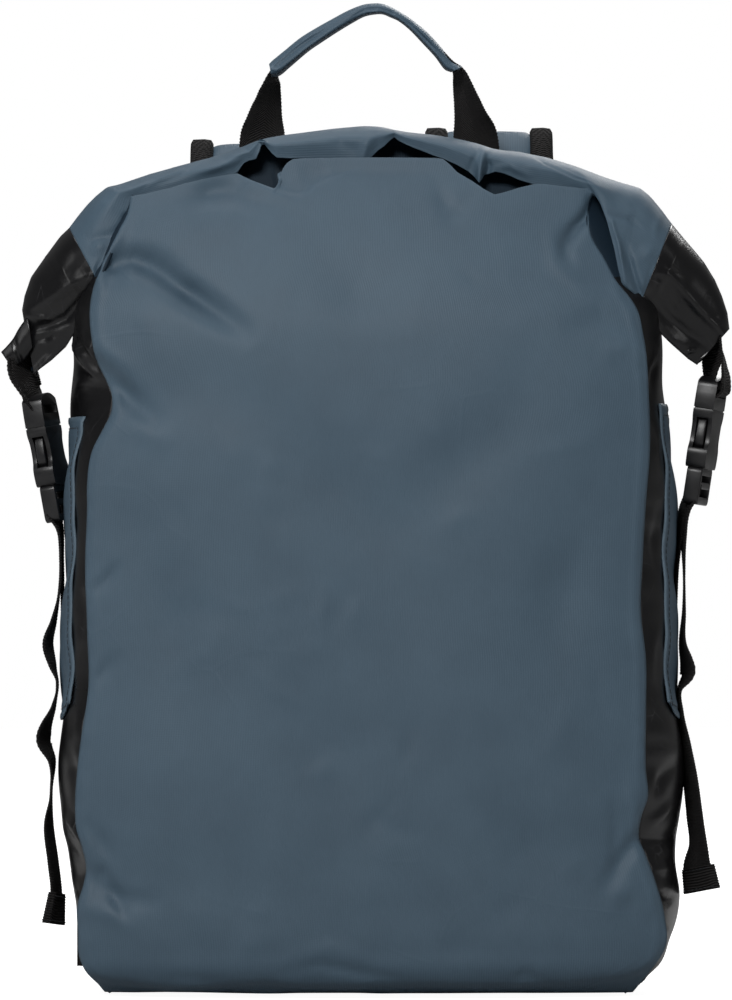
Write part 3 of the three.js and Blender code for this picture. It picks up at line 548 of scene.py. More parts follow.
depth = front_depth(eye_height + (middle_row - picture[..., 1]) * picture_step,
                    1 - np.abs(2 * crosswise - 1)[None] ** 3)
for line, *form in front_valleys:
    depth += valley(picture, line, *form) / 1000
depth += step_down(picture, front_layer, 2, 2.6, 22) / 1000

# Handling leaves short soft dents all over the cloth.
chance = np.random.default_rng(11)
for _ in range(70):
    dent = np.array((chance.uniform(120, 620), chance.uniform(230, 960)))
    slant = chance.uniform(-0.9, 0.9) + math.pi / 2 * (chance.random() < 0.6)
    reach = chance.uniform(18, 60) * np.array((math.cos(slant), math.sin(slant)))
    bow = chance.uniform(-9, 9) * np.array((-math.sin(slant), math.cos(slant)))
    depth += valley(picture, [dent - reach, dent + bow, dent + reach], chance.uniform(7, 17),
                    chance.uniform(-0.75, 0.75)) / 1000

# The seam allowances lie behind the cloth as a low ridge beside each side seam, and pull small
# puckers along it. Cloth is rubbed along its seams and at its folded edge.
away, _, _ = beside(picture, top_fold)
rubbed = 0.12 * np.exp(-(away / 1.6) ** 2)
for seam in (left_seam[:26], right_seam[:21]):
    away, _, run = beside(picture, seam)
    depth -= 0.0004 * np.exp(-((away - 8.5) / 3) ** 2)
    depth += 0.0016 * np.exp(-(away / 3) ** 2)
    puckers = np.sin(run * 150 + 1.3 * np.sin(run * 37)) * (0.6 + 0.4 * np.sin(run * 23))
    depth += 0.00035 * puckers * np.exp(-(away / 9) ** 2)
    rubbed += 0.3 * np.exp(-(away / 1.3) ** 2)
away, _, _ = beside(picture, foot_line)
depth += 0.006 * np.exp(-(away / 5) ** 2)
foot_height = 0.0026
front = seen(picture[..., 0], picture[..., 1], depth)
front[..., 2] = np.maximum(front[..., 2], foot_height)

# Past its folded edge the cloth goes back under the roll and up into it, painted very dark there
# as the shade under the roll. Its foot turns in under the bag.
fold_steps = [
    (0.0011, -0.0005), (0.0034, -0.0022), (0.008, -0.0052), (0.014, -0.0068), (0.02, -0.005),
    (0.0232, 0.002),
]
collar_top = [
    (124, 190), (150, 177), (175, 170), (210, 160.5), (236, 152), (262, 142.6), (300, 136.4), (332, 132.4),
    (363, 129.8), (394, 133.2), (431, 138), (472, 146), (511, 155), (545, 161), (575, 170), (600, 181),
]
foot_steps = ((0.016, 0.0021, 1), (0.008, 0.0021, 0.8), (0.0028, 0.0024, 0.55), (0.0007, 0.003, 0.2))
tucked = [front[-1] + np.array((0, back, drop)) for back, drop in fold_steps]
collar = along(collar_top, crosswise)
inside_top = seen(collar[:, 0], collar[:, 1], -0.006)
tucked += [tucked[-1] * (1 - step) + inside_top * step for step in np.linspace(0.3, 1, 5)]
foot_turn = []
for back, height, inward in foot_steps:
    lifted = front[0, :, 2] - foot_height
    across = front[0, :, 0] - np.sign(front[0, :, 0]) * lifted * inward
    level = front[0, :, 2] + (height - front[0, :, 2]) * min(1, inward * 1.25)
    foot_turn.append(np.stack([across, front[0, :, 1] + back, level], axis=-1))
rubbed = np.pad(rubbed, ((len(foot_turn), len(tucked)), (0, 0)))
front_panel = sheet_piece("front_cloth", np.concatenate([foot_turn, front, tucked]), (0, 0, 0.22), rubbed)
# The tucked rows take the very dark blue: painted shade under the roll.
paint_shade_past_row(front_panel, len(foot_turn) + front_rows + 1, front_columns)
wall(front_panel, cloth_wall, blue_cloth, painted_shade_cloth)
belongs(front_panel, "front_panel")


# The collar: the same cloth rolled down twice on itself and bowed over the load. Its front edge is
# gathered into three pleats that leave hollows over the panel, dark from their depth and from the
# painted shade of the cloth behind them, and both its ends, past a crosswise seam, are the glossy
# black cloth of the sides, pulled down by the buckles.
# Each row: where the camera sees the upper edge, the lower edge, the depth of the lower edge in
# millimetres and the underside behind it, as picture rows below the upper edge.
roll_rows = [
    (24, 322, 34, 375, -9, 46), (22, 310, 40, 369, -11, 50), (24.5, 296, 52, 360, -15, 56),
    (31, 277, 66, 347, -22, 62), (38, 267, 74, 334, -27, 62), (45, 257, 82, 318, -33, 60),
    (60, 236.5, 93, 296, -42, 56), (69, 228, 99, 284, -44.5, 54), (78, 216, 108, 264, -42.5, 50),
    (87, 205, 121, 234, -39, 42), (96, 196, 130, 216, -36, 36), (107, 187, 134, 200, -34, 28),
    (119, 184.5, 145, 196, -33, 27), (135, 179, 157, 193, -32, 26), (150, 174, 170, 190, -31, 28),
    (175, 167, 206, 180.5, -30, 37), (210, 157.5, 230, 176, -29, 36), (220, 154.5, 237.5, 172.5, -28, 36),
    (228, 152, 244, 163, -27, 36), (236, 149, 249, 160.5, -27, 36), (243, 146.5, 256, 159, -27, 36),
    (249, 144, 259, 152, -26.5, 36), (255, 141.5, 262.3, 142.5, -24, 36), (263, 139, 266, 146, -26.5, 36),
    (269, 137.6, 272, 153.5, -27, 36), (275, 136.6, 277, 157.6, -27.5, 36),
    (287, 134.6, 289, 158.4, -27.5, 36),
    (300, 133, 301, 158.4, -27.5, 36), (318, 130.6, 319, 158.4, -27.5, 35),
    (332, 128.8, 332, 158.4, -27.5, 35),
    (345, 127.6, 347, 158.6, -27.5, 35), (363, 126, 363, 159, -28, 35), (371, 126.2, 371, 157.4, -28, 35),
    (377, 126.5, 378, 150.6, -27, 35), (384, 127.4, 384, 146.2, -26.5, 35),
    (391, 129, 391, 139.4, -25.5, 35),
    (394.3, 129.8, 394.3, 136.8, -25, 35), (399, 130.6, 398, 140.2, -25.5, 35),
    (406.5, 132, 406, 144.4, -26.5, 35),
    (415.7, 133, 414, 148, -27, 35), (423, 133.8, 422, 150.8, -27, 35), (431, 134.5, 432, 155, -27, 34),
    (444, 136.6, 443.3, 158.8, -27.5, 34), (454, 138.2, 457, 165, -28, 34),
    (464, 140.2, 468.5, 171.4, -28, 34),
    (470, 141.6, 475, 177.6, -28.5, 34), (475, 142.8, 479.2, 182.8, -29, 34),
    (479, 144, 482, 179.4, -28, 34),
    (482, 145, 484, 175.4, -27, 34), (490.7, 148, 495.3, 171.8, -27, 34), (497, 149.4, 503, 173.2, -27, 34),
    (505, 150.6, 512, 176.6, -28, 34), (511, 151, 519, 180, -28.5, 34), (520, 152, 534, 184.6, -29, 34),
    (530.5, 154.2, 545, 185.6, -30, 34), (545, 157, 562, 188, -31, 34), (560, 161.4, 580, 191, -33, 35),
    (575, 166, 594, 194, -35.5, 36), (590, 171.6, 600, 203, -38, 38), (604, 177, 606.5, 220, -40.5, 40),
    (618, 181.6, 614, 248, -44, 46), (633, 186, 618, 268, -46, 52), (640, 188, 622, 285, -47, 58),
    (650, 196, 631, 291.5, -46, 60), (662, 210.5, 640, 298, -44, 62), (672, 224, 641.5, 301, -42, 62),
    (682, 236, 645, 310, -38, 62), (692, 247.6, 651, 320, -33, 62), (704, 262, 661, 334, -26, 62),
    (715, 280, 670, 343, -21, 60), (722, 296, 679, 351, -17, 56), (727.5, 313, 688, 359, -14, 50),
    (729.5, 329, 697, 365, -11, 44),
]
seam_rows = (7, 65)
roll_depth = 27
front_steps = 36
under_steps = 8
back_steps = 14

# Folds of the roll, as the camera sees them: line, half width, depth and what is left at the ends.
roll_valleys = [
    ([(222, 154), (200, 164), (176, 177), (150, 186)], 3, 1.5, (0.6, 0)),
    ([(236, 160), (214, 168), (190, 175)], 4.5, -2, (0.7, 0)),
    ([(206, 160), (184, 169), (156, 176)], 3, -1.2),
    ([(171, 170), (150, 181), (139, 190)], 2.4, 0.9),
    ([(262.3, 142), (262, 150), (258, 160)], 4, -1.6, (1, 0)),
    ([(363, 157), (366, 146), (372, 134)], 5, -1.8, (1, 0)),
    ([(350, 148), (338, 140), (330, 134)], 6, 1.1, (0.5, 0)),
    ([(479, 182), (481, 168), (484, 151)], 3.6, -3.4, (1, 0.6)),
    ([(487, 176), (489, 166), (485, 152)], 3, 2, (1, 0)),
    ([(470, 170), (474, 160), (480, 152)], 3.5, 1.4, (0.6, 0)),
    ([(495, 168), (510, 166), (534, 178)], 4, -1.5, (0.3, 0)),
    ([(611, 190), (632, 207), (650, 222)], 2.2, 0.9),
    ([(612, 199), (634, 216), (650, 229)], 3.2, -0.9),
    ([(609, 214), (630, 220), (646, 232)], 2.4, 1.5, (0.3, 0)),
    ([(612, 222), (619, 244), (623, 268), (626, 284)], 2.2, -2.4, (0.6, 0.4)),
    ([(622, 236), (628, 256), (636, 284), (640, 294)], 4, 3.2, (0, 1)),
    ([(640, 246), (648, 254), (656, 262)], 8, -1.6),
    ([(664, 206), (655, 230), (660, 246)], 4, -0.8, (0.4, 0)),
    ([(80, 232), (92, 240), (110, 236), (126, 222)], 4.5, 1.5),
    ([(92, 256), (100, 244), (108, 240)], 6, -1.8),
    ([(126, 216), (122, 226), (112, 244)], 3, 1.8, (1, 0)),
    ([(96, 282), (98, 266), (103, 256)], 2.5, 1.6, (1, 0)),
    ([(110, 196), (128, 190), (148, 184)], 5, -0.7),
    ([(86, 276), (70, 286), (56, 294), (38, 304), (27, 310)], 7.5, -3.4, (0.5, 0.6)),
    ([(72, 250), (56, 262), (42, 276), (32, 286)], 9, 1.6),
    ([(93, 287), (82, 300), (66, 318), (46, 326), (29, 330)], 4.6, 4, (0.6, 0.5)),
    ([(28, 316), (44, 318), (60, 322)], 3, -1.6, (0.5, 0)),
    ([(30, 340), (44, 338), (60, 334)], 3.5, 1.6),
    ([(58, 350), (46, 362), (35, 373)], 4, -1.8, (0.5, 0.5)),
    ([(40, 348), (52, 342), (66, 330)], 7, -1.4),
    ([(659, 272), (672, 277), (686, 293), (701, 310), (713, 321), (726, 335)], 6, -3.8, (0.4, 0.8)),
    ([(664, 264), (676, 274), (684, 284)], 2.6, 1.8),
    ([(655, 277), (659, 284), (662, 292)], 3, -1.8),
    ([(650, 296), (668, 318), (688, 334), (706, 344)], 6, 3.4, (0.6, 0.3)),
    ([(668, 292), (674, 300), (684, 318)], 3.5, 1.4),
    ([(684, 355), (690, 351), (698, 351)], 2, -1.6),
    ([(700, 360), (710, 354), (723, 345)], 2, -1.8, (0.5, 0.5)),
    ([(660, 330), (672, 340), (690, 350)], 4, -1.4),
    ([(706, 316), (716, 318), (722, 324)], 2.5, 1.4),
]

# Where an outer layer of the roll ends over the one below it, walked with the lower layer right.
roll_layers = [
    ([(600, 186), (576, 179), (562, 173), (544, 164.5), (532, 156), (512, 152.6), (496, 150)], 0.6, 2.4, 16),
    ([(606, 186.6), (577, 175), (558, 166), (541, 157.4), (524, 154)], 0.5, 1.1, 8),
    ([(148, 184), (176, 172), (206, 160), (226, 152.5)], 0.8, 1.1, 7),
]


def unit(ways):
    return ways / np.linalg.norm(ways, axis=-1, keepdims=True)


def roll_rings(first, last, count):
    """Rings round the roll between two rows: front face from the top, underside, back face."""
    table = np.array(roll_rows, float)
    places = np.linspace(first, last, count)
    upper_c, upper_r, lower_c, lower_r, low_depth, under = (
        np.interp(places, np.arange(len(table)), table[:, column]) for column in range(6))
    upper = np.stack([upper_c, evened(upper_r, 3)], axis=-1)[:, None]
    lower = np.stack([lower_c, lower_r], axis=-1)[:, None]
    t = np.linspace(0, 1, front_steps)[None, :, None]
    face = upper + (lower - upper) * (0.35 * t + 0.65 * t ** 1.3)
    bulge = np.minimum(t[..., 0] / 0.55, 1)
    arch = np.sqrt(1 - (1 - bulge) ** 2)
    settle = np.clip((t[..., 0] - 0.35) / 0.65, 0, 1)
    settle = settle * settle * (3 - 2 * settle)
    low = evened(low_depth, 3)[:, None]
    middle = np.maximum(low - 1.5, -38)
    depths = -2 + (middle + 2) * arch + (low - middle) * settle
    for line, *form in roll_valleys:
        depths = depths + valley(face, line, *form)
    for line, *form in roll_layers:
        depths = depths + step_down(face, line, *form)
    front_face = seen(face[..., 0], face[..., 1], depths / 1000)
    way = unit(lower - upper)
    back_low = upper + way * under[:, None, None]
    u = np.linspace(0, 1, under_steps + 2)[None, 1:-1]
    lift = 5 * np.sin(np.pi * u)[..., None]
    path = lower + (back_low - lower) * (u ** 1.5)[..., None] - way * lift
    bottom = seen(path[..., 0], path[..., 1], (low + (roll_depth - 3 - low) * u ** 0.9) / 1000)
    b = np.linspace(0, 1, back_steps)[:-1]
    climb = back_low + (upper - back_low) * b[None, :, None]
    round_back = np.sqrt(np.clip(1 - np.abs(2 * b - 1) ** 2.6, 0, 1))
    back_depth = roll_depth * (0.55 + 0.45 * round_back) * np.sqrt(1 - np.clip((b - 0.5) / 0.5, 0, 1) ** 3)
    behind = seen(climb[..., 0], climb[..., 1], (back_depth + 0 * places[:, None]) / 1000)
    return np.concatenate([front_face, bottom, behind], axis=1)


def face_way(piece, face, axis, sign):
    """Turns a closed piece inside out if this face of it looks the wrong way."""
    if piece.data.polygons[face].normal[axis] * sign < 0:
        piece.data.flip_normals()


def roll_piece(name, first, last, count, material, slot, node):
    rings = roll_rings(first, last, count)
    piece = grid_mesh(name, rings, wrap=True)
    face_way(piece, front_steps // 2, 1, -1)
    mark_worn(piece, np.zeros(rings.shape[:2]))
    # The underside faces take the very dark blue: painted shade under the roll.
    around = np.arange(len(piece.data.polygons)) % rings.shape[1]
    under = (around >= front_steps) & (around < front_steps + under_steps + 1)
    piece.data.polygons.foreach_set("material_index", under.astype(np.int32))
    wall(piece, film_wall, material, painted_shade_cloth)
    belongs(piece, node)


def glossy_cloth(name):
    """The sides' smooth film over black cloth: deep gloss, fine handling scratches and dull patches."""
    finish = Finish(name, 0.3, 0.42)
    place = finish.place()
    wander = finish.bent(place, 14, 0.02)
    cloudy = finish.noise(place, 34, 4, 0.62)
    fine = finish.noise(wander, 420, 3, 0.6)
    scratch = finish.lines(wander, 70, 0.016) * (finish.noise(place, 60, 2) * 5 - 2.6).clamped()
    shade = finish.blended(cloudy, (0.0028, 0.0028, 0.0034, 1), (0.006, 0.006, 0.007, 1))
    finish.feed("Base Color", finish.blended(scratch * 0.8, shade, (0.05, 0.05, 0.054, 1)))
    finish.feed("Roughness", (0.24 + cloudy * 0.12 + scratch * 0.2 + (fine - 0.5) * 0.06).clamped(0.1, 0.7))
    finish.bump(cloudy * 0.4 + fine * 0.08 + scratch * 0.3, 0.12, 0.0012)
    return finish.material


black_film = glossy_cloth("black_glossy_cloth")
film_wall = 0.0016
roll_piece("roll_cloth", *seam_rows, 460, blue_cloth, "coated_fabric", "roll_middle")
for side, first, last in (("left", 0, seam_rows[0]), ("right", seam_rows[1], len(roll_rows) - 1)):
    roll_piece("roll_end_cloth_" + side, first, last, 110, black_film, "glossy_fabric", "roll_end_" + side)

# The outer layer's free corner sticks out at the left end, folded back once over the webbing. Each
# row: a place on its upper edge and one on its lower edge.
corner_rows = [(27, 317, 33, 348), (19, 328, 29, 354), (12, 340, 23.5, 361), (6, 347, 17, 366),
               (1, 352, 11.5, 367.5)]


def between_edges(upper, lower, steps):
    """Places from an upper to a lower line, with their shares of the way."""
    t = np.linspace(0, 1, steps)[None, :, None]
    return upper[:, None] + (lower - upper)[:, None] * t, t[..., 0]


edges = np.array(corner_rows, float)
shares = np.linspace(0, 1, 20)
face, t = between_edges(along(edges[:, :2], shares), along(edges[:, 2:], shares), 14)
corner_depth = -13 + 6 * shares[:, None] - 2.4 * np.sin(np.pi * t) + valley(
    face, [(13, 338), (17, 350), (22, 364)], 1.6, 1.5, (1, 1))
corner = sheet_piece("roll_corner_left", seen(face[..., 0], face[..., 1], corner_depth / 1000),
(-0.17, 0.1, 0.33))
wall(corner, film_wall, black_film)
belongs(corner)


# The sides and the back: glossy black gussets that run from the front seam round to the back seam,
# and a plain back panel of the blue cloth. Both go up under the roll, and a flat floor closes them.
side_reach = {
    "left": [(0, 112), (6, 100), (12, 88), (26, 79), (49, 78), (62, 74), (75, 68.5), (86, 61.5), (101, 60.5),
             (120, 61), (136, 62.5), (158, 63), (200, 66),
             (260, 69.5), (300, 71), (330, 75), (346, 71), (365, 72), (374, 80), (384, 90), (396, 101),
             (416, 122)],
    "right": [(0, 622), (6, 637), (12, 654), (30, 672), (50, 677), (67, 674), (92, 681), (125, 680.5),
              (160, 675),
              (256, 672), (300, 666), (316, 660), (343, 663), (365, 662), (374, 652), (384, 640),
              (398, 626), (416, 608)],
}
back_seam = [(0, 0.79), (20, 0.9), (60, 0.95), (150, 0.94), (280, 0.93), (345, 0.92), (372, 0.9),
             (392, 0.78)]
back_form = [(0, 56, 50), (10, 66, 58), (30, 69, 61), (90, 72, 63.5), (200, 74, 65), (300, 72, 63),
             (345, 67, 58), (380, 56, 46), (405, 42, 34), (425, 31, 26)]
body_half_width = 0.156
side_columns = 64
side_levels = np.concatenate([np.linspace(0, 12, 10), np.linspace(15, 416, 160)]) / 1000


def front_edge(side, heights):
    """Where the front panel's seam lies at these heights."""
    column = 0 if side == "left" else -1
    places = front[:, column]
    low = np.maximum.accumulate(places[:, 2])
    return np.stack([np.interp(heights, low, places[:, axis]) for axis in range(3)], axis=-1)


def back_edge(hand, heights):
    """Where the back panel's seam lies at these heights."""
    share = along_height(*np.array(back_seam, float).T, heights * 1000)
    form = np.array(back_form, float)
    depth = along_height(form[:, 0], form[:, 2], heights * 1000) / 1000
    return np.stack([hand * share * body_half_width, depth, heights], axis=-1)


side_folds = {
    "left": [
        ([(70, 342), (82, 354), (97, 374)], 3.6, -5, (1, 0.6)), ([(78, 338), (88, 350),
        (100, 368)], 2.6, 4, (0, 0.6)),
        ([(84, 336), (92, 350), (102, 368)], 2.4, -4, (0.4, 0.3)), ([(74, 392), (82, 384),
        (94, 378)], 3, -3.4, (0.8, 0.2)),
        ([(72, 410), (84, 402), (104, 396)], 5, 2, (0, 0.4)), ([(70, 430), (84, 424), (100, 428)], 5, -1.8),
        ([(66, 740), (72, 760), (74, 800)], 4, 1.6), ([(62, 815), (74, 826), (86, 846)], 4, -2.6, (0.5, 0)),
        ([(64, 840), (72, 850), (84, 866)], 3.5, 2, (0.5, 0)), ([(70, 868), (76, 880), (80, 896)], 3, -1.6),
        ([(80, 580), (84, 600), (80, 640)], 4, 1.2), ([(76, 700), (80, 720), (74, 750)], 4, -1.2),
    ],
    "right": [
        ([(664, 345), (654, 372), (652, 400)], 4, 2, (0.4, 0)), ([(660, 420), (655, 450),
        (659, 480)], 4, -1.6),
        ([(660, 500), (655, 540), (657, 580)], 4, 1.5), ([(660, 620), (652, 650), (655, 690)], 4, -1.3),
        ([(678, 760), (664, 776), (656, 800)], 5, 2.2, (0.3, 0)), ([(680, 800), (664, 814),
        (648, 826)], 4.5, -2.6, (0.2, 0.5)),
        ([(680, 832), (664, 842), (646, 842)], 4, 2.8, (0.2, 0.5)), ([(676, 866), (664, 868),
        (652, 866)], 4, -2.2, (0.2, 0.4)),
        ([(678, 892), (670, 898), (660, 892)], 3.5, 2, (0.4, 0.4)), ([(676, 930), (670, 935),
        (664, 936)], 4, -1.4),
    ],
}
side_sheets = {}
for side, hand in sides:
    reach_rows = np.array(side_reach[side], float)
    column = along_height(reach_rows[:, 0], reach_rows[:, 1], side_levels * 1000)
    reach = seen(column, middle_row + 0 * column, 0.0)[:, 0]
    start = front_edge(side, side_levels)
    start[:, 0] -= hand * 0.001
    finish_line = back_edge(hand, side_levels)
    u = np.linspace(0, 1, side_columns)[None]
    depth = start[:, 1:2] + (finish_line[:, 1:2] - start[:, 1:2]) * u
    straight = start[:, 0:1] + (finish_line[:, 0:1] - start[:, 0:1]) * u
    across = straight + (reach[:, None] - straight) * (1 - np.abs(2 * u - 1) ** 2.6)
    level = np.maximum(side_levels[:, None] + 0 * across, start[0, 2] * np.clip(1 - u / 0.3, 0, 1))
    scale = (eye_distance + depth - front_plane) / eye_distance
    view = np.stack([middle_column + (across - eye_across) / scale / picture_step,
                     middle_row - (level - eye_height) / scale / picture_step], axis=-1)
    near = np.clip((0.34 - u) / 0.3, 0, 1)
    for line, *form in side_folds[side]:
        across = across - hand * valley(view, line, *form) / 1000 * near
    across = across - hand * 0.0012 * np.sin(level * 95 + depth * 40) * np.sin(np.pi * u) ** 0.5
    side_sheets[side] = np.stack([across, depth, level], axis=-1)
    panel = sheet_piece("side_cloth_" + side, side_sheets[side], (0, 0, 0.2))
    # Above the height where the roll covers it, the side takes the very dark blue: painted shade under the
    # roll.
    paint_shade_past_row(panel, int(np.searchsorted(side_levels, 0.371)), side_columns)
    wall(panel, cloth_wall, black_film, painted_shade_cloth)
    belongs(panel, "side_panel_" + side)

back_columns = 90
back_levels = np.concatenate([np.linspace(0, 12, 8), np.linspace(16, 392, 112)]) / 1000
back_dents = [
    (0.8, 1, 0.03, 0.16, 0.0016, 0.02), (0.7, -1, -0.05, 0.24, 0.0018, 0.018),
    (-0.1, 1, 0, 0.06, 0.0012, 0.016),
]
u = np.linspace(0, 1, back_columns)
right_edge = back_edge(1, back_levels)
left_edge = back_edge(-1, back_levels)
form = np.array(back_form, float)
middle_depth = along_height(form[:, 0], form[:, 1], back_levels * 1000) / 1000
across = right_edge[:, 0:1] + (left_edge[:, 0:1] - right_edge[:, 0:1]) * u[None]
crown = 1 - np.abs(2 * u - 1)[None] ** 3
depth = right_edge[:, 1:2] + (middle_depth[:, None] - right_edge[:, 1:2]) * crown
level = back_levels[:, None] + 0 * across
for lean, rise, x, z, sunk, width in back_dents:
    depth = depth - sunk * np.exp(-(((across - x) * lean + rise * (level - z)) / width) ** 2)
back = np.stack([across, depth, level], axis=-1)
back_top = np.stack([np.linspace(0.121, -0.121, back_columns), 0.024 + 0 * u,
                     0.398 + 0.034 * (1 - np.abs(2 * u - 1) ** 2.4)], axis=-1)
climb = []
for step in np.linspace(0, 1, 16)[1:]:
    ease = step * step * (3 - 2 * step)
    row = back[-1] * (1 - ease) + back_top * ease
    row[:, 2] = back[-1][:, 2] * (1 - step) + back_top[:, 2] * step
    climb.append(row)
back = np.concatenate([back, climb])
back_panel = sheet_piece("back_cloth", back, (0, 0, 0.2))
wall(back_panel, cloth_wall, blue_cloth)
belongs(back_panel, "back_panel")

floor_height = 0.0019
foot_ring = np.concatenate([
    foot_turn[1], side_sheets["right"][0][1:-1], back[0], side_sheets["left"][0][1:-1][::-1]])
foot_ring = foot_ring * np.array((0.985, 0.985, 1))
foot_ring[:, 2] = np.maximum(foot_ring[:, 2], floor_height)
centre = np.array((0, 0, floor_height))
floor_rings = np.array([centre + (foot_ring - centre) * share for share in (1, 0.97, 0.9, 0.6, 0.3, 0.02)])
floor_rings[1:, :, 2] += 0.0006
base = grid_mesh("base_cloth", floor_rings, wrap=True)
face_way(base, 0, 2, -1)
mark_worn(base, np.zeros(floor_rings.shape[:2]))
wall(base, cloth_wall, blue_cloth)
belongs(base, "base_panel")


# The patches on the sides: pieces of the blue cloth with turned edges, sewn flat on the black
# gussets where the buckle straps are anchored. A line of stitches follows their edge.
patch_levels = {"left": (0.142, 0.3005), "right": (0.1425, 0.3075)}
patch_rows = 110
patch_columns = 56
patch_span = {"left": (0.14, 0.9), "right": (0.16, 0.9)}


def stitch_thread():
    """Sewing thread: slightly fuzzy, darker than the cloth it holds."""
    finish = Finish("sewing_thread", 0.8)
    fuzz = finish.noise(finish.place(), 1800, 2)
    finish.feed("Base Color", finish.blended(fuzz, (0.012, 0.014, 0.017, 1), (0.05, 0.056, 0.062, 1)))
    finish.bump(fuzz, 0.4, 0.0002)
    return finish.material


def stitch_tree():
    """Short rounded threads laid end to end along a line."""
    tree = bpy.data.node_groups.new("stitches", "GeometryNodeTree")
    tree.interface.new_socket("Geometry", in_out="INPUT", socket_type="NodeSocketGeometry")
    for name in ("Stitch", "Gap", "Thread"):
        tree.interface.new_socket(name, in_out="INPUT", socket_type="NodeSocketFloat")
    tree.interface.new_socket("Material", in_out="INPUT", socket_type="NodeSocketMaterial")
    tree.interface.new_socket("Geometry", in_out="OUTPUT", socket_type="NodeSocketGeometry")

    def node(kind, settings=None, inputs=None, output=0):
        made = tree.nodes.new(kind)
        for name, value in (settings or {}).items():
            setattr(made, name, value)
        for name, value in (inputs or {}).items():
            if isinstance(value, bpy.types.NodeSocket):
                tree.links.new(value, made.inputs[name])
            else:
                made.inputs[name].default_value = value
        return made.outputs[output] if made.outputs else made

    def maths(operation, first, second):
        return node("ShaderNodeMath", {"operation": operation}, {0: first, 1: second})

    given = tree.nodes.new("NodeGroupInput").outputs
    line = node("GeometryNodeMeshToCurve", None, {"Mesh": given["Geometry"]})
    dots = node("GeometryNodeResampleCurve", {"mode": "LENGTH"},
                {"Curve": line, "Length": maths("ADD", given["Stitch"], given["Gap"])})
    turned = node("FunctionNodeAlignRotationToVector", {"axis": "Z"},
                  {"Vector": node("GeometryNodeInputTangent")})
    bar = node("GeometryNodeMeshCylinder", None, {
        "Vertices": 5, "Side Segments": 2, "Radius": given["Thread"], "Depth": given["Stitch"]}, "Mesh")
    place = node("GeometryNodeInputPosition")
    along_bar = maths("DIVIDE", node("ShaderNodeSeparateXYZ", None, {"Vector": place}, "Z"),
                      maths("MULTIPLY", given["Stitch"], 0.5))
    slim = maths("SUBTRACT", 1.0, maths("MULTIPLY", maths("POWER", along_bar, 2.0), 0.3))
    sized = node("ShaderNodeCombineXYZ", None, {"X": slim, "Y": slim, "Z": 1.0})
    shaped = node("ShaderNodeVectorMath", {"operation": "MULTIPLY"}, {0: place, 1: sized})
    rounded = node("GeometryNodeSetPosition", None, {"Geometry": bar, "Position": shaped})
    copies = node("GeometryNodeInstanceOnPoints", None,
                  {"Points": dots, "Instance": rounded, "Rotation": turned})
    real = node("GeometryNodeRealizeInstances", None, {"Geometry": copies})
    coloured = node("GeometryNodeSetMaterial", None, {"Geometry": real, "Material": given["Material"]})
    node("NodeGroupOutput", None, {"Geometry": coloured})
    return tree


thread = stitch_thread()
stitching = stitch_tree()


def sew(name, lines, stitch, gap, radius):
    """Stitches along lines of points that lie on the cloth."""
    mesh = bpy.data.meshes.new(name)
    points = []
    edges = []
    for line in lines:
        edges += [(len(points) + step, len(points) + step + 1) for step in range(len(line) - 1)]
        points += [tuple(point) for point in line]
    mesh.from_pydata(points, edges, [])
    seam = put(name, mesh)
    made = seam.modifiers.new("stitches", "NODES")
    made.node_group = stitching
    values = {"Stitch": stitch, "Gap": gap, "Thread": radius, "Material": thread}
    for item in stitching.interface.items_tree:
        if item.in_out == "INPUT" and item.name in values:
            made[item.identifier] = values[item.name]
    apply_modifiers(seam)
    smooth(seam.data)
    belongs(seam)


def sheet_normals(grid):
    """The way a grid of points faces at each point."""
    facing = np.cross(np.gradient(grid, axis=1), np.gradient(grid, axis=0))
    return facing / np.maximum(np.linalg.norm(facing, axis=-1, keepdims=True), 1e-12)


for side, hand in sides:
    sheet = side_sheets[side]
    low, high = patch_levels[side]
    levels = np.linspace(low, high, patch_rows)
    rows = np.interp(levels, sheet[:, 0, 2], np.arange(len(sheet)))
    spots = np.linspace(*patch_span[side], patch_columns) * (side_columns - 1)
    row = rows.astype(int)
    column = np.minimum(spots.astype(int), side_columns - 2)
    r = (rows - row)[:, None, None]
    c = (spots - column)[None, :, None]
    grid = ((sheet[row][:, column] * (1 - r) + sheet[row + 1][:, column] * r) * (1 - c)
            + (sheet[row][:, column + 1] * (1 - r) + sheet[row + 1][:, column + 1] * r) * c)
    normals = sheet_normals(grid)
    normals *= np.sign((normals[..., 0] * hand).sum())
    down = np.arange(patch_rows)[:, None]
    over = np.arange(patch_columns)[None]
    from_edge = np.minimum(np.minimum(over, over[:, ::-1]) * 1.9, np.minimum(down, down[::-1]) * 1.5)
    grid[..., 2] += 0.011 * np.exp(-(levels[:, None] - low) / 0.008) * np.exp(-over / 5)
    lift = 0.0015 - 0.0006 * np.exp(-(from_edge / 1.4) ** 2) - 0.0006 * np.exp(-((from_edge - 5) / 1.6) ** 2)
    lift = lift + 0.0004 * np.sin(levels[:, None] * 210 + over * 0.2)
    patch = sheet_piece("patch_cloth_" + side, grid + normals * lift[..., None], (0, 0, 0.22),
                        0.9 * np.exp(-(from_edge / 1.6) ** 2))
    wall(patch, 0.0009, blue_cloth)
    belongs(patch, "side_patch_" + side)
    outline = grid + normals * (lift[..., None] + 0.0002)
    loop = np.concatenate([outline[4:-4, 3], outline[-5, 3:-3],
                           outline[4:-4, -4][::-1], outline[4, 3:-3][::-1]])
    sew("patch_stitches_" + side, [loop], 0.0024, 0.0009, 0.00022)


# The webbing: black woven straps with cross ribs a millimetre and a half apart and knobbly edges.
# From the roll's ends it passes behind the film to the buckles, doubled and twisted; from the buckles
# one strap is sewn to the side patch and the other hangs loose, wavy from use, with a folded hem.
webbing_width = 0.025
webbing_wall = 0.0015
rib_pitch = 0.0015


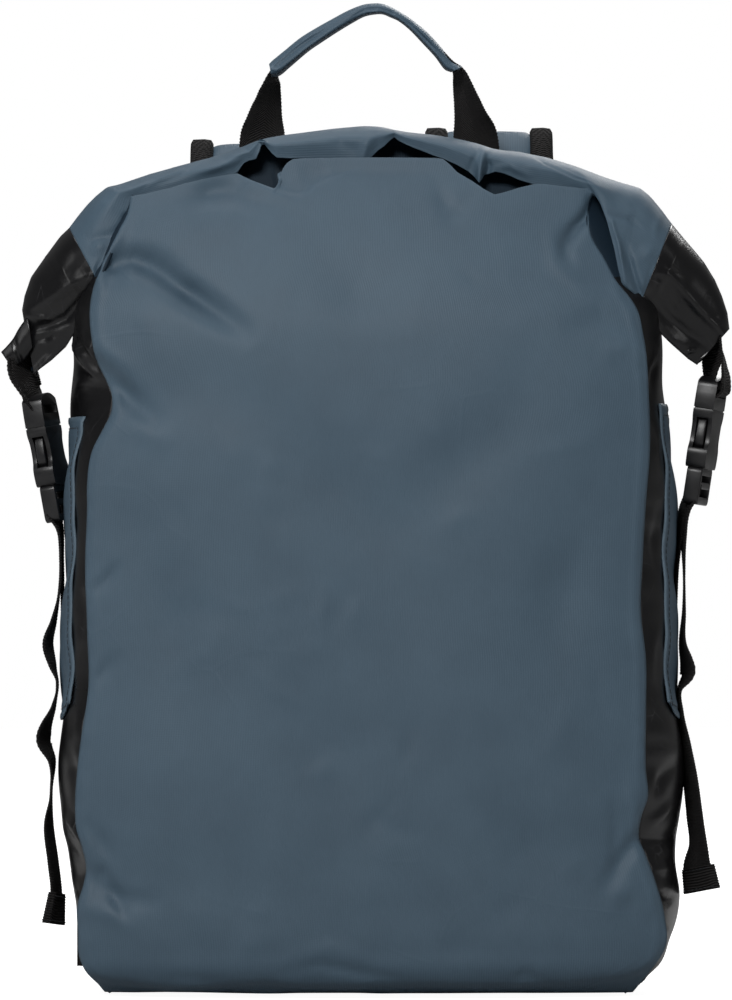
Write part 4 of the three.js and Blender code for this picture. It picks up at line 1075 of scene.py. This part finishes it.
def woven_webbing():
    """Black ribbed polyester webbing, greyer where the ribs catch the light."""
    finish = Finish("black_webbing", 0.78, 0.3)
    _, across, upwards = finish.cloth()
    place = finish.place()
    rib = (upwards * waves(rib_pitch) + finish.noise(place, 500, 2) * 0.9).sine() * 0.5 + 0.5
    twist = (across * waves(0.0011) + upwards * waves(0.0021)).sine() * 0.5 + 0.5
    fuzz = finish.noise(place, 1500, 3, 0.7)
    tone = (rib * 0.55 + twist * rib * 0.25 + (fuzz - 0.5) * 0.5).clamped()
    finish.feed("Base Color", finish.blended(tone, (0.0015, 0.0014, 0.0014, 1), (0.034, 0.031, 0.031, 1)))
    finish.feed("Roughness", (0.92 - rib * 0.2).clamped(0.4, 0.95))
    finish.bump(rib + twist * 0.3 + (fuzz - 0.5) * 0.5, 0.9, 0.0005)
    return finish.material


webbing = woven_webbing()


def close_ends(piece, around):
    """Closes the first and last ring of a tube and turns its faces outwards."""
    shape = bmesh.new()
    shape.from_mesh(piece.data)
    shape.verts.ensure_lookup_table()
    count = len(shape.verts)
    shape.faces.new([shape.verts[step] for step in range(around)][::-1])
    shape.faces.new([shape.verts[count - around + step] for step in range(around)])
    bmesh.ops.recalc_face_normals(shape, faces=shape.faces)
    shape.to_mesh(piece.data)
    shape.free()


def band_frames(centres, across):
    """Centres with the ways along, across and out of a band that follows them."""
    tangents = unit(np.gradient(centres, axis=0))
    across = unit(across - tangents * (across * tangents).sum(axis=1, keepdims=True))
    return centres, tangents, across, np.cross(tangents, across)


def band_mesh(name, centres, wide, high, aside, rise):
    """A closed band of rings round its centres, each point this far aside and this far out."""
    grid = centres[:, None] + aside[..., None] * wide[:, None] + rise[..., None] * high[:, None]
    band = grid_mesh(name, grid, wrap=True)
    close_ends(band, grid.shape[1])
    return band


def webbing_band(name, node, *form):
    band = band_mesh(name, *form)
    band.data.materials.append(webbing)
    belongs(band, node)


def ribs(run):
    """How proud the webbing's ribs stand at these lengths."""
    return 0.5 + 0.5 * np.cos(run * 2 * math.pi / rib_pitch)


def strap_frames(rows, count):
    """Places, widths' directions and faces' directions along a strap's rows of (place, turn)."""
    places = np.array([place for place, _ in rows], float)
    shares = np.linspace(0, 1, count)
    knots = run_along(places)
    turn = np.radians(along_height(knots / knots[-1], np.array([turn for _, turn in rows], float), shares))
    return band_frames(along(places, shares), np.stack([np.cos(turn), np.sin(turn), 0 * turn], axis=-1))


strap_steps = np.array((-1, -0.96, -0.6, 0, 0.6, 0.96, 1))
strap_face = np.array((0.35, 0.95, 1, 1, 1, 0.95, 0.35))


def strap_piece(name, rows, node=None, widths=None, thickness=webbing_wall, cup=0.0, wave=0.0):
    """A flat ribbed strap: each rib stands a little proud and the edge is knobbly."""
    length = run_along(np.array([place for place, _ in rows], float))[-1]
    count = int(min(max(length / (rib_pitch / 5), 24), 900))
    centres, _, across, up = strap_frames(rows, count)
    run = np.linspace(0, length, count)
    rib = ribs(run)
    half = np.interp(np.linspace(0, 1, count), *zip(*(widths or [(0, webbing_width)]))) / 2
    half = half * (1 - 0.032 * (1 - rib))
    aside, out = np.concatenate([(strap_steps, strap_face),
                                 (strap_steps[::-1], -strap_face[::-1])], axis=1)[:, None]
    bend = cup * (1 - aside ** 2) + wave * np.sin(run * 55)[:, None] * aside ** 2
    rise = out * (thickness / 2 - 0.00014 * (1 - rib))[:, None] + bend
    webbing_band(name, node, centres, across, up, aside * half[:, None], rise)


def spot(column, row, depth):
    """One place at a depth, in millimetres, that the camera sees there."""
    return seen(column, row, depth / 1000)


def spots_turned(rows):
    """Rows of a place in the picture and a turn, with the place found."""
    return [(spot(*place), turn) for place, turn in rows]

roll_straps = {
    "left": [((38, 326, 6), 84), ((32, 343, 3), 74), ((25, 362, 0), 62), ((26, 377, -2), 58),
             ((32, 392, -3), 64),
             ((37, 402, 0), 76), ((39, 412, 0), 84)],
    "right": [((711, 342, 2), 110), ((712, 354, 2), 112), ((712, 366, 1), 109), ((711, 376, 0), 100),
              ((710, 386, 0), 95), ((709, 396, 0), 92)],
}
roll_doubles = {
    "left": [((38, 330, 12), 86), ((28, 350, 6), 78), ((19, 368, 0), 72), ((20, 380, -4), 70),
             ((27, 394, -6), 78),
             ((37, 410, -3), 86)],
    "right": [((720, 340, -2), 90), ((722.5, 354, -3), 86), ((724.5, 368, -3), 82), ((726, 380, -3), 78),
              ((724.5, 391, -4), 78), ((717, 398, -4), 84), ((711, 402, -2), 92)],
}
for side, _ in sides:
    strap_piece("roll_strap_" + side, spots_turned(roll_straps[side]), "roll_webbing_" + side, cup=0.0006)
    strap_piece("roll_strap_back_" + side, spots_turned(roll_doubles[side]), cup=-0.0005)

anchor_straps = {
    "left": [((63.5, 664, 2), 90), ((63, 640, 2), 90), ((62.6, 600, 2), 90), ((61.8, 560, 2), 89),
             ((60, 526, 1), 86),
             ((55, 505, 0), 84), ((50.5, 494, 0), 84)],
    "right": [((675, 668, 2), 92), ((674.6, 640, 2), 91), ((675.6, 600, 2), 90), ((677, 560, 2), 92),
              ((680, 530, 1), 96),
              ((684, 508, 0), 98), ((690, 492, 0), 98)],
}
tail_straps = {
    "left": [((47, 500, 0), 84), ((49, 514, -3), 86), ((58, 530, -6), 88), ((60.5, 560, -6), 90),
             ((59, 592, -5), 92),
             ((54, 622, -5), 86), ((49, 646, -7), 80), ((53, 664, -8), 84), ((57.5, 680, -8), 92),
             ((54, 706, -8), 88),
             ((46, 728, -10), 78), ((43.5, 741, -12), 74), ((51, 760, -12), 84), ((51, 790, -11), 92),
             ((49, 824, -11), 82),
             ((54, 862, -12), 80), ((57, 893, -13), 79), ((53.5, 924, -14), 70)],
    "right": [((697, 478, 0), 98), ((695, 494, -3), 96), ((686, 512, -6), 94), ((683, 540, -6), 92),
              ((684, 575, -6), 88),
              ((684.5, 612, -6), 90), ((683.5, 646, -7), 96), ((687, 664, -9), 104), ((688, 672, -10), 106),
              ((680, 688, -9), 92), ((679, 712, -9), 96), ((684, 745, -10), 102), ((690, 780, -11), 106),
              ((695, 815, -12), 108),
              ((699, 848, -13), 112), ((698, 867, -13), 126),
              ((702, 891, -14), 134)],
}
tail_widths = [(0, 0.0235), (0.8, 0.0235), (1, 0.0238)]
for side, _ in sides:
    rows = spots_turned(anchor_straps[side])
    strap_piece("anchor_webbing_" + side, rows, "anchor_strap_" + side)
    centres, _, across, up = strap_frames(rows, 60)
    box_stitch = [centres[2:12] + up[2:12] * sign * 0.0009 + across[2:12] * shift
                  for sign in (-1, 1) for shift in (-0.009, 0, 0.009)]
    sew("anchor_stitches_" + side, box_stitch, 0.0022, 0.0008, 0.00026)
    rows = spots_turned(tail_straps[side])
    strap_piece("loose_webbing_" + side, rows, "tail_strap_" + side, tail_widths, wave=0.0005)
    hem_rows = [(rows[-2][0] + 0.00004, rows[-2][1]), rows[-1]]
    strap_piece("loose_hem_" + side, hem_rows, None, [(0, 0.0246)], 0.0042)
    centres, _, across, up = strap_frames(rows[-2:], 20)
    over = np.linspace(-0.0105, 0.0105, 9)[:, None]
    hem_lines = [centres[step] + over * across[step] + up[step] * sign * 0.0023
                 for step in (2, 17) for sign in (-1, 1)]
    sew("hem_stitches_" + side, hem_lines, 0.002, 0.0008, 0.00026)


# The buckles: side-release buckles moulded in satin black nylon. The upper half is a flat tube with
# a bar for the roll's webbing and a window at each side for the prongs; the lower half carries two
# sprung prongs and a frame with two slots that the loose strap is laced through.
def moulded_plastic():
    """Satin black nylon with the fine grain of the mould, duller in cloudy patches."""
    finish = Finish("satin_black_plastic", 0.34)
    place = finish.place()
    grain = finish.noise(place, 2400, 2)
    cloudy = finish.noise(place, 90)
    finish.feed("Base Color", finish.blended(cloudy, (0.0055, 0.0055, 0.0062, 1), (0.011, 0.011, 0.012, 1)))
    finish.feed("Roughness", (0.27 + cloudy * 0.2 + (grain - 0.5) * 0.12).clamped(0.1, 0.8))
    finish.bump(grain, 0.12, 0.0002)
    return finish.material


plastic = moulded_plastic()


def solid_block(name, outline, thickness, holes=(), shift=(0, 0, 0)):
    """A flat moulding from a smooth outline, with slots, as a closed mesh. Sizes are in millimetres."""
    drawing = bpy.data.curves.new(name, "CURVE")
    drawing.dimensions = "2D"
    drawing.fill_mode = "BOTH"
    for loop in (outline, *holes):
        spline = drawing.splines.new("POLY")
        spline.points.add(len(loop) - 1)
        for point, (x, y) in zip(spline.points, loop):
            point.co = (x / 1000, y / 1000, 0, 1)
        spline.use_cyclic_u = True
    drawing.extrude = thickness / 2000
    drawn = put(name + "_drawing", drawing)
    mesh = bpy.data.meshes.new_from_object(drawn.evaluated_get(bpy.context.evaluated_depsgraph_get()))
    bpy.data.objects.remove(drawn)
    merge = bmesh.new()
    merge.from_mesh(mesh)
    bmesh.ops.remove_doubles(merge, verts=merge.verts, dist=1e-6)
    bmesh.ops.dissolve_limit(merge, angle_limit=0.01, verts=merge.verts, edges=merge.edges)
    bmesh.ops.recalc_face_normals(merge, faces=merge.faces)
    merge.to_mesh(mesh)
    merge.free()
    mesh.transform(Matrix.Translation([value / 1000 for value in shift]))
    return put(name, mesh)


def soften(block, radius):
    """Rounds a block's edges and gives it its plastic."""
    edge = block.modifiers.new("rounded_edges", "BEVEL")
    edge.width = radius / 1000
    edge.segments = 3
    edge.limit_method = "ANGLE"
    edge.angle_limit = math.radians(35)
    apply_modifiers(block)
    smooth(block.data)
    block.data.materials.clear()
    block.data.materials.append(plastic)
    return block


def cut_away(block, cutters):
    for cutter in cutters:
        cut = block.modifiers.new("cut", "BOOLEAN")
        cut.object = cutter
        cut.solver = "EXACT"
    apply_modifiers(block)
    for cutter in cutters:
        bpy.data.objects.remove(cutter)


def round_box(width, low, high, corner):
    """An outline with rounded corners."""
    points = []
    for x_way, y_way, start in ((1, -1, -90), (1, 1, 0), (-1, 1, 90), (-1, -1, 180)):
        for step in range(7):
            turn = math.radians(start + step * 15)
            points.append((x_way * (width / 2 - corner) + corner * math.cos(turn),
                           (low + corner if y_way < 0 else high - corner) + corner * math.sin(turn)))
    return points


def slot_outline(width, low, high):
    return [(-width / 2, low), (width / 2, low), (width / 2, high), (-width / 2, high)]


def rounded_outline(corners, count):
    """A smooth closed outline through these corners."""
    return along(corners + corners[:1], np.linspace(0, 1, count))[:-1].tolist()


def join_pieces(pieces, name):
    merged = bmesh.new()
    for piece in pieces:
        merged.from_mesh(piece.data)
    mesh = bpy.data.meshes.new(name)
    merged.to_mesh(mesh)
    merged.free()
    for piece in pieces:
        bpy.data.objects.remove(piece)
    mesh.materials.append(plastic)
    smooth(mesh)
    return put(name, mesh)


socket_thick = 10.5
socket_shell = 2.2
web_slot = 26.5
plate_edge = [
    (-17, 3), (-16.2, 0), (-9, -1.2), (0, -1.6), (9, -1.2), (16.2, 0), (17, 3), (17, 8), (14.6, 12),
    (14, 17),
    (14.6, 22), (17, 26.5), (17, 30), (16.4, 40), (15.4, 44), (13, 45), (-13, 45), (-15.4, 44), (-16.4, 40),
    (-17, 30), (-17, 26.5), (-14.6, 22), (-14, 17), (-14.6, 12), (-17, 8),
]
prong_edge = [
    (8, -2), (12, -2), (12.4, 6), (14.2, 9.6), (16, 11.2), (16.4, 14), (16.1, 18), (15, 22.6), (13, 25.6),
    (10.5, 26), (9.6, 24.5), (11.4, 20), (11.4, 13), (9, 6),
]


def buckle_socket(name):
    body = solid_block(name, rounded_outline(plate_edge, 110), socket_thick,
                       [slot_outline(web_slot, 36.5, 41)])
    hollow = socket_thick - 2 * socket_shell
    cutters = [solid_block("mouth", round_box(27, -8, 29, 1), hollow),
               solid_block("side_windows", slot_outline(40, 9, 25), hollow)]
    for face in (1, -1):
        cutters.append(solid_block("face_line", slot_outline(40, 29.6, 30.3), 0.9, (),
        (0, 0, face * socket_thick / 2)))
    for across in (-17, 17):
        cutters.append(solid_block("edge_line", slot_outline(1.2, 29.6, 30.3), socket_thick + 4, (),
        (across, 0, 0)))
    cut_away(body, cutters)
    return soften(body, 0.55)


def buckle_plug(name):
    slots = [slot_outline(web_slot, low, high) for low, high in ((-16.3, -12), (-8.4, -4.9))]
    blocks = [soften(solid_block("plug_frame", round_box(32, -20.3, -0.6, 3), 8.2, slots), 0.7)]
    for hand in (-1, 1):
        points = [(hand * x, y) for x, y in prong_edge][::hand]
        blocks.append(soften(solid_block("prong", rounded_outline(points, 60), 4.6), 0.6))
    blocks.append(soften(solid_block("guide", round_box(4, -2, 24, 1.6), 4.2), 0.6))
    return join_pieces(blocks, name)


def set_in_place(block, mouth_place, along_way, out_way):
    """Turns a piece drawn flat so that it points along one way and faces another."""
    long_way = Vector(along_way).normalized()
    face = Vector(out_way)
    face = (face - long_way * face.dot(long_way)).normalized()
    width = long_way.cross(face)
    turn = Matrix((width, long_way, face)).transposed().to_4x4()
    block.data.transform(Matrix.Translation(Vector(mouth_place)) @ turn)


buckles = {
    "left": {"mouth": (53.5, 483, 0), "lean": 10.2, "turn": -12},
    "right": {"mouth": (700.5, 466, 0), "lean": 8.6, "turn": 12},
}
for side, hand in sides:
    lean = math.radians(buckles[side]["lean"])
    swing = math.radians(buckles[side]["turn"])
    long_way = (hand * math.sin(lean), 0, math.cos(lean))
    out_way = (hand * math.cos(swing), -math.sin(swing), 0)
    for block, node in ((buckle_socket("buckle_upper_" + side), "buckle_socket_" + side),
                        (buckle_plug("buckle_lower_" + side), "buckle_plug_" + side)):
        set_in_place(block, spot(*buckles[side]["mouth"]), long_way, out_way)
        belongs(block, node)


# The handle: a loop of the same webbing sewn on the back behind the roll. Each leg twists a quarter
# turn and narrows as it goes into the sleeve, a piece of the blue cloth folded round it and sewn shut.
back_tree = BVHTree.FromObject(back_panel, bpy.context.evaluated_depsgraph_get())


def back_seat(x, z, lift):
    """The place that stands this far off the back of the bag at a width and a height."""
    hit = back_tree.ray_cast(Vector((x, 0.3, z)), Vector((0, -1, 0)))[0]
    return np.array((x, (hit.y if hit else 0.03) + lift, z))


def leg_end(column):
    """The sewn end of a handle leg, from the back up to the roll's height."""
    x = seen(column, 200, 0.04)[0]
    return [back_seat(x, 0.372, 0.0013), back_seat(x, 0.388, 0.0014), back_seat(x, 0.398, 0.002)]


handle_rows = [
    ((262, 180, 40.5), 0), ((262, 160, 42.5), 0), ((262.5, 139, 44), 6), ((265, 120, 44), 36),
    ((268, 102, 44), 53),
    ((270, 90, 43), 62), ((272.5, 80, 42), 72), ((276, 70, 42), 84), ((292, 57, 42), 90),
    ((318, 37, 42), 90),
    ((345, 20, 42), 90), ((377, 10, 42), 90), ((405, 20, 42), 90), ((432, 43, 42), 90), ((450, 62, 42), 92),
    ((458, 72, 42), 106), ((462, 84, 42), 116), ((466.5, 100, 43), 127), ((471, 118, 44), 142),
    ((475.5, 138, 44), 174),
    ((477, 160, 42.5), 180), ((477, 180, 40.5), 180),
]
handle_widths = [(0, 0.0248), (0.2, 0.0248), (0.28, 0.0236), (0.34, 0.0205), (0.66, 0.0205), (0.72, 0.0225),
                 (0.8, 0.0248), (1, 0.0248)]
rows = [(place, 0) for place in leg_end(262)] + spots_turned(handle_rows)
rows += [(place, 180) for place in leg_end(477)[::-1]]
strap_piece("handle_strap", rows, "handle_webbing", handle_widths, cup=0.0008)

# The sleeve's upper and lower edges as the camera sees them, from its left end to its right.
sleeve_rows = [
    (269, 64, 271.5, 77), (273, 60, 280, 75.6), (284, 51, 291, 66.5), (300, 38, 308, 52), (316, 28, 321, 43),
    (333, 18.5, 337, 32.5), (348, 10.5, 351, 24), (362, 5, 364, 17), (372, 3.4, 375, 14.6),
    (382, 3.6, 383, 14.6),
    (391, 7, 390, 17.4), (401, 12.4, 399, 21.6), (413, 20.4, 410, 30.4), (427, 32, 423, 44),
    (440, 46, 435, 57),
    (452, 60, 444, 69), (462.5, 66.5, 451, 72.4),
]
sleeve_folds = [
    ([(276, 66), (300, 46), (330, 26), (352, 14)], 2.4, 1.8, (0.6, 0)),
    ([(278, 72), (306, 49), (336, 29)], 2, -1.2),
    ([(350, 18), (366, 9), (378, 8), (392, 13)], 2.2, 1.6, (0, 0.4)),
    ([(366, 13), (377, 12), (386, 15)], 1.6, -1),
    ([(392, 12), (412, 26), (432, 46), (454, 66)], 2.2, 1.8, (0.3, 0.6)),
    ([(404, 16), (424, 34), (444, 56)], 1.8, -1.1),
    ([(269, 68), (276, 70), (284, 66)], 2, -1.2, (0.5, 0)),
    ([(452, 62), (456, 66), (458, 70)], 1.8, -1, (0, 0.5)),
]
sleeve_steps = 230
sleeve_around = 26
sleeve_depth = 42
table = np.array(sleeve_rows, float)
upper_c, upper_r, lower_c, lower_r = (
    along_height(np.linspace(0, 1, len(table)), table[:, column], np.linspace(0, 1, sleeve_steps))
    for column in range(4))
face, t = between_edges(np.stack([upper_c, upper_r], axis=-1),
                        np.stack([lower_c, lower_r], axis=-1), sleeve_around)
bulge = 13.6 * np.sqrt(np.clip(1 - np.abs(2 * t - 1) ** 3, 0, 1))
depths = sleeve_depth - bulge
for line, *form in sleeve_folds:
    depths = depths + valley(face, line, *form)
near_face = seen(face[..., 0], face[..., 1], depths / 1000)
far_face = seen(face[..., 0], face[..., 1], (sleeve_depth + bulge) / 1000)[:, ::-1][:, 1:-1]
rings = np.concatenate([near_face, far_face], axis=1)
sleeve = grid_mesh("handle_sleeve_cloth", rings, wrap=True)
face_way(sleeve, 12, 1, -1)
rubbed = np.zeros(rings.shape[:2])
rubbed[:, [0, 1, sleeve_around - 1, sleeve_around]] = 0.7
rubbed[[0, 1, -2, -1]] = 0.8
mark_worn(sleeve, rubbed)
wall(sleeve, 0.0015, blue_cloth)
belongs(sleeve, "handle_sleeve")
sewn = face[4:-4, 21]
sewn_line = seen(sewn[:, 0], sewn[:, 1], (depths[4:-4, 21] - 0.4) / 1000)
sew("sleeve_stitches", [sewn_line], 0.0024, 0.0009, 0.00026)


# The shoulder straps: foam pads covered in the blue cloth, their cut edges bound in folded webbing.
# They are sewn to the back behind the roll, arch over and hang down the back to the adjusters.

# pad_start: heights of the sewn start and how far the middle of the pad stands off the back there.
pad_places = {"left": {"x": -0.058, "lift": 0}, "right": {"x": 0.0645, "lift": 0.0062}}
pad_start = [(0.345, 0.0052), (0.362, 0.0056), (0.378, 0.0068)]
pad_line = [
    (0, 0.0555, 0.399), (0, 0.0645, 0.42), (0, 0.0745, 0.431), (0, 0.0835, 0.4335), (0.0006, 0.0925, 0.425),
    (0.0016, 0.0965, 0.405), (0.003, 0.0965, 0.37), (0.0045, 0.0965, 0.33), (0.007, 0.0935, 0.28),
    (0.0095, 0.0905, 0.23), (0.012, 0.0888, 0.18), (0.0143, 0.0868, 0.142),
]
pad_half = 0.0052


def pad_frames(side, hand, count):
    line = np.array([(0, 0, height) for height, _ in pad_start] + pad_line, float)
    line[:, 2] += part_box("shoulder_strap_" + side)[1].z - pad_half - line[:, 2].max()
    line[:, 2] += pad_places[side]["lift"] * np.clip((line[:, 2] - 0.3) / 0.1, 0, 1)
    line[:, 0] = pad_places[side]["x"] + hand * line[:, 0]
    for row, (_, lift) in enumerate(pad_start):
        line[row] = back_seat(line[row, 0], line[row, 2], lift)
    return band_frames(along(line, np.linspace(0, 1, count)), np.tile((1.0, 0, 0), (count, 1)))


def pad_mesh(name, centres, _, across, up, half_width=0.0268, half_thick=0.0046):
    """A flat tube with round edges."""
    turn = np.radians(np.arange(0, 360, 12))[None]
    return band_mesh(name, centres, across, up,
                     np.sign(np.cos(turn)) * np.abs(np.cos(turn)) ** 0.45 * half_width,
                     np.sign(np.sin(turn)) * np.abs(np.sin(turn)) ** 0.7 * half_thick)


def puff(piece, pressure=4.0, cap=0.004):
    """Fills a pad: remeshed, blown up a little by cloth simulation, and held to its place."""
    remesh = piece.modifiers.new("even_mesh", "REMESH")
    remesh.mode = "VOXEL"
    remesh.voxel_size = 0.0045
    apply_modifiers(piece)
    before = read(piece.data.vertices, "co")
    after = before
    cloth = piece.modifiers.new("cloth", "CLOTH")
    cloth.settings.use_pressure = True
    cloth.settings.uniform_pressure_force = pressure
    cloth.settings.effector_weights.gravity = 0
    for step in range(1, 21):
        bpy.context.scene.frame_set(step)
    blown = piece.evaluated_get(bpy.context.evaluated_depsgraph_get())
    after = read(blown.to_mesh().vertices, "co")
    blown.to_mesh_clear()
    piece.modifiers.clear()
    bpy.context.scene.frame_set(1)
    shift = after - before
    size = np.linalg.norm(shift, axis=1, keepdims=True)
    shift *= np.minimum(1, cap / np.maximum(size, 1e-9))
    piece.data.vertices.foreach_set("co", (before + shift).ravel())
    piece.data.update()
    finer = piece.modifiers.new("finer", "SUBSURF")
    finer.levels = finer.render_levels = 1
    apply_modifiers(piece)
    smooth(piece.data)


edge_ring = np.array([
    (-1, -0.55), (-0.8, -0.95), (0.2, -1), (0.8, -0.9), (1, -0.5), (1, 0.5), (0.8, 0.9), (0.2, 1),
    (-0.8, 0.95),
    (-1, 0.55)])


def binding(name, node, path, wide, high, half_width, steps):
    """Folded webbing round an edge, its ribs this finely divided."""
    length = run_along(path)[-1]
    spots = np.linspace(0, 1, int(length / (rib_pitch / steps)))
    knots = np.linspace(0, 1, len(path))
    place, wide, high = (np.stack([np.interp(spots, knots, way[:, axis]) for axis in range(3)], axis=-1)
                         for way in (path, wide, high))
    rib = ribs(spots * length)
    half_wide = half_width - 0.0003 * (1 - rib)
    half_high = 0.0054 - 0.0003 * (1 - rib) + 0.0002 * np.sin(spots * length * 90)
    webbing_band(name, node, place, wide, high, edge_ring[:, 0] * half_wide[:, None],
                 edge_ring[:, 1] * half_high[:, None])


for side, hand in sides:
    pad = pad_mesh("shoulder_pad_" + side, *pad_frames(side, hand, 110))
    puff(pad)
    places = read(pad.data.vertices, "co")
    lay_map(pad.data, places[:, (0, 2)] + places[:, (1, 1)] * (0, 0.7))
    mark_worn(pad, np.zeros(len(places)))
    pad.data.materials.clear()
    pad.data.materials.append(blue_cloth)
    belongs(pad, "shoulder_strap_" + side)
    centres, tangents, across, up = pad_frames(side, hand, 420)
    foot = np.linspace(-1, 1, 60)[:, None]
    low = centres[-1] + across[-1] * foot * 0.0296 + tangents[-1] * (0.0022 * (1 - foot ** 6))
    binding("strap_edge_outer_" + side, "strap_binding_" + side, centres + hand * across * 0.0292,
            across, up, 0.0061, 4)
    binding("strap_edge_inner_" + side, None, centres - hand * across * 0.0266, across, up, 0.0061, 3)
    binding("strap_edge_foot_" + side, None, low, np.tile(tangents[-1], (60, 1)), np.tile(up[-1], (60, 1)),
            0.0034, 3)


# The adjusters: a ladder lock of satin black plastic hangs on a short tab under each pad, and its
# webbing runs down to a tab that is sewn in at the bottom corner of the back.
tab_ring = np.array([
    (-1, -0.4), (-0.97, -1), (0, -1), (0.97, -1), (1, -0.4), (1, 0.4), (0.97, 1), (0, 1), (-0.97, 1),
    (-1, 0.4)])
for side, hand in sides:
    low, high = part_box("ladder_lock_" + side)
    middle = (low + high) / 2
    half = (high.z - low.z) * 500
    lock = solid_block("adjuster_" + side, round_box(32, -half, half, 3.2), 3.6,
                       [slot_outline(web_slot, half - 8.5, half - 4),
                        slot_outline(web_slot, 4 - half, 8.5 - half)])
    bar = solid_block("bar", round_box(32, 0.2 - half, 4.4 - half, 1.8), 5.6)
    adjuster = join_pieces([soften(lock, 0.8), soften(bar, 1.2)], "strap_adjuster_" + side)
    _, tangents, _, up = pad_frames(side, hand, 60)
    set_in_place(adjuster, middle, -tangents[-1], -up[-1])
    belongs(adjuster, "ladder_lock_" + side)
    tab_low, tab_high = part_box("strap_tab_" + side)
    tab_middle = (tab_low + tab_high) / 2
    strap_piece("adjuster_tab_" + side, [
        ((tab_middle.x, tab_high.y - 0.001, tab_high.z), 0), (tab_middle, 0),
        ((tab_middle.x, tab_low.y + 0.001, tab_low.z), 0)], "strap_tab_" + side)
    foot_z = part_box("lower_webbing_" + side)[0].z
    anchor_low, anchor_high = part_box("lower_anchor_" + side)
    seat_y = anchor_high.y + 0.0012
    end_x = hand * 0.103
    strap_piece("lower_strap_" + side, [
        ((middle.x, middle.y + 0.0031, middle.z + 0.002), 0),
        ((middle.x, middle.y + 0.0033, low.z - 0.004), 0),
        ((middle.x + hand * 0.004, middle.y - 0.003, (low.z + foot_z) / 2), hand * -2),
        ((end_x, seat_y + 0.0012, foot_z + 0.014), hand * -5),
        ((end_x + hand * 0.0016, seat_y, foot_z + 0.001), hand * -5)], "lower_webbing_" + side)
    anchor_z = (anchor_low.z + anchor_high.z) / 2
    inner_x, outer_x = (anchor_low.x, anchor_high.x)[::hand]
    tab_line = np.array([back_seat(x, anchor_z + 0.004, 0.0008) for x in np.linspace(inner_x, outer_x, 12)])
    tab_line[:, 2] = anchor_z
    length = abs(outer_x - inner_x)
    spots = np.linspace(0, 1, int(length / (rib_pitch / 4)))
    bare = (1 - ribs(spots * length))[:, None]
    ways = np.eye(3)[:, None] + np.zeros((len(spots), 1))
    webbing_band("corner_tab_" + side, "lower_anchor_" + side, along(tab_line, spots), ways[1], ways[2],
                 tab_ring[:, 1] * (0.00075 - 0.0001 * bare), tab_ring[:, 0] * (0.0125 - 0.0002 * bare))
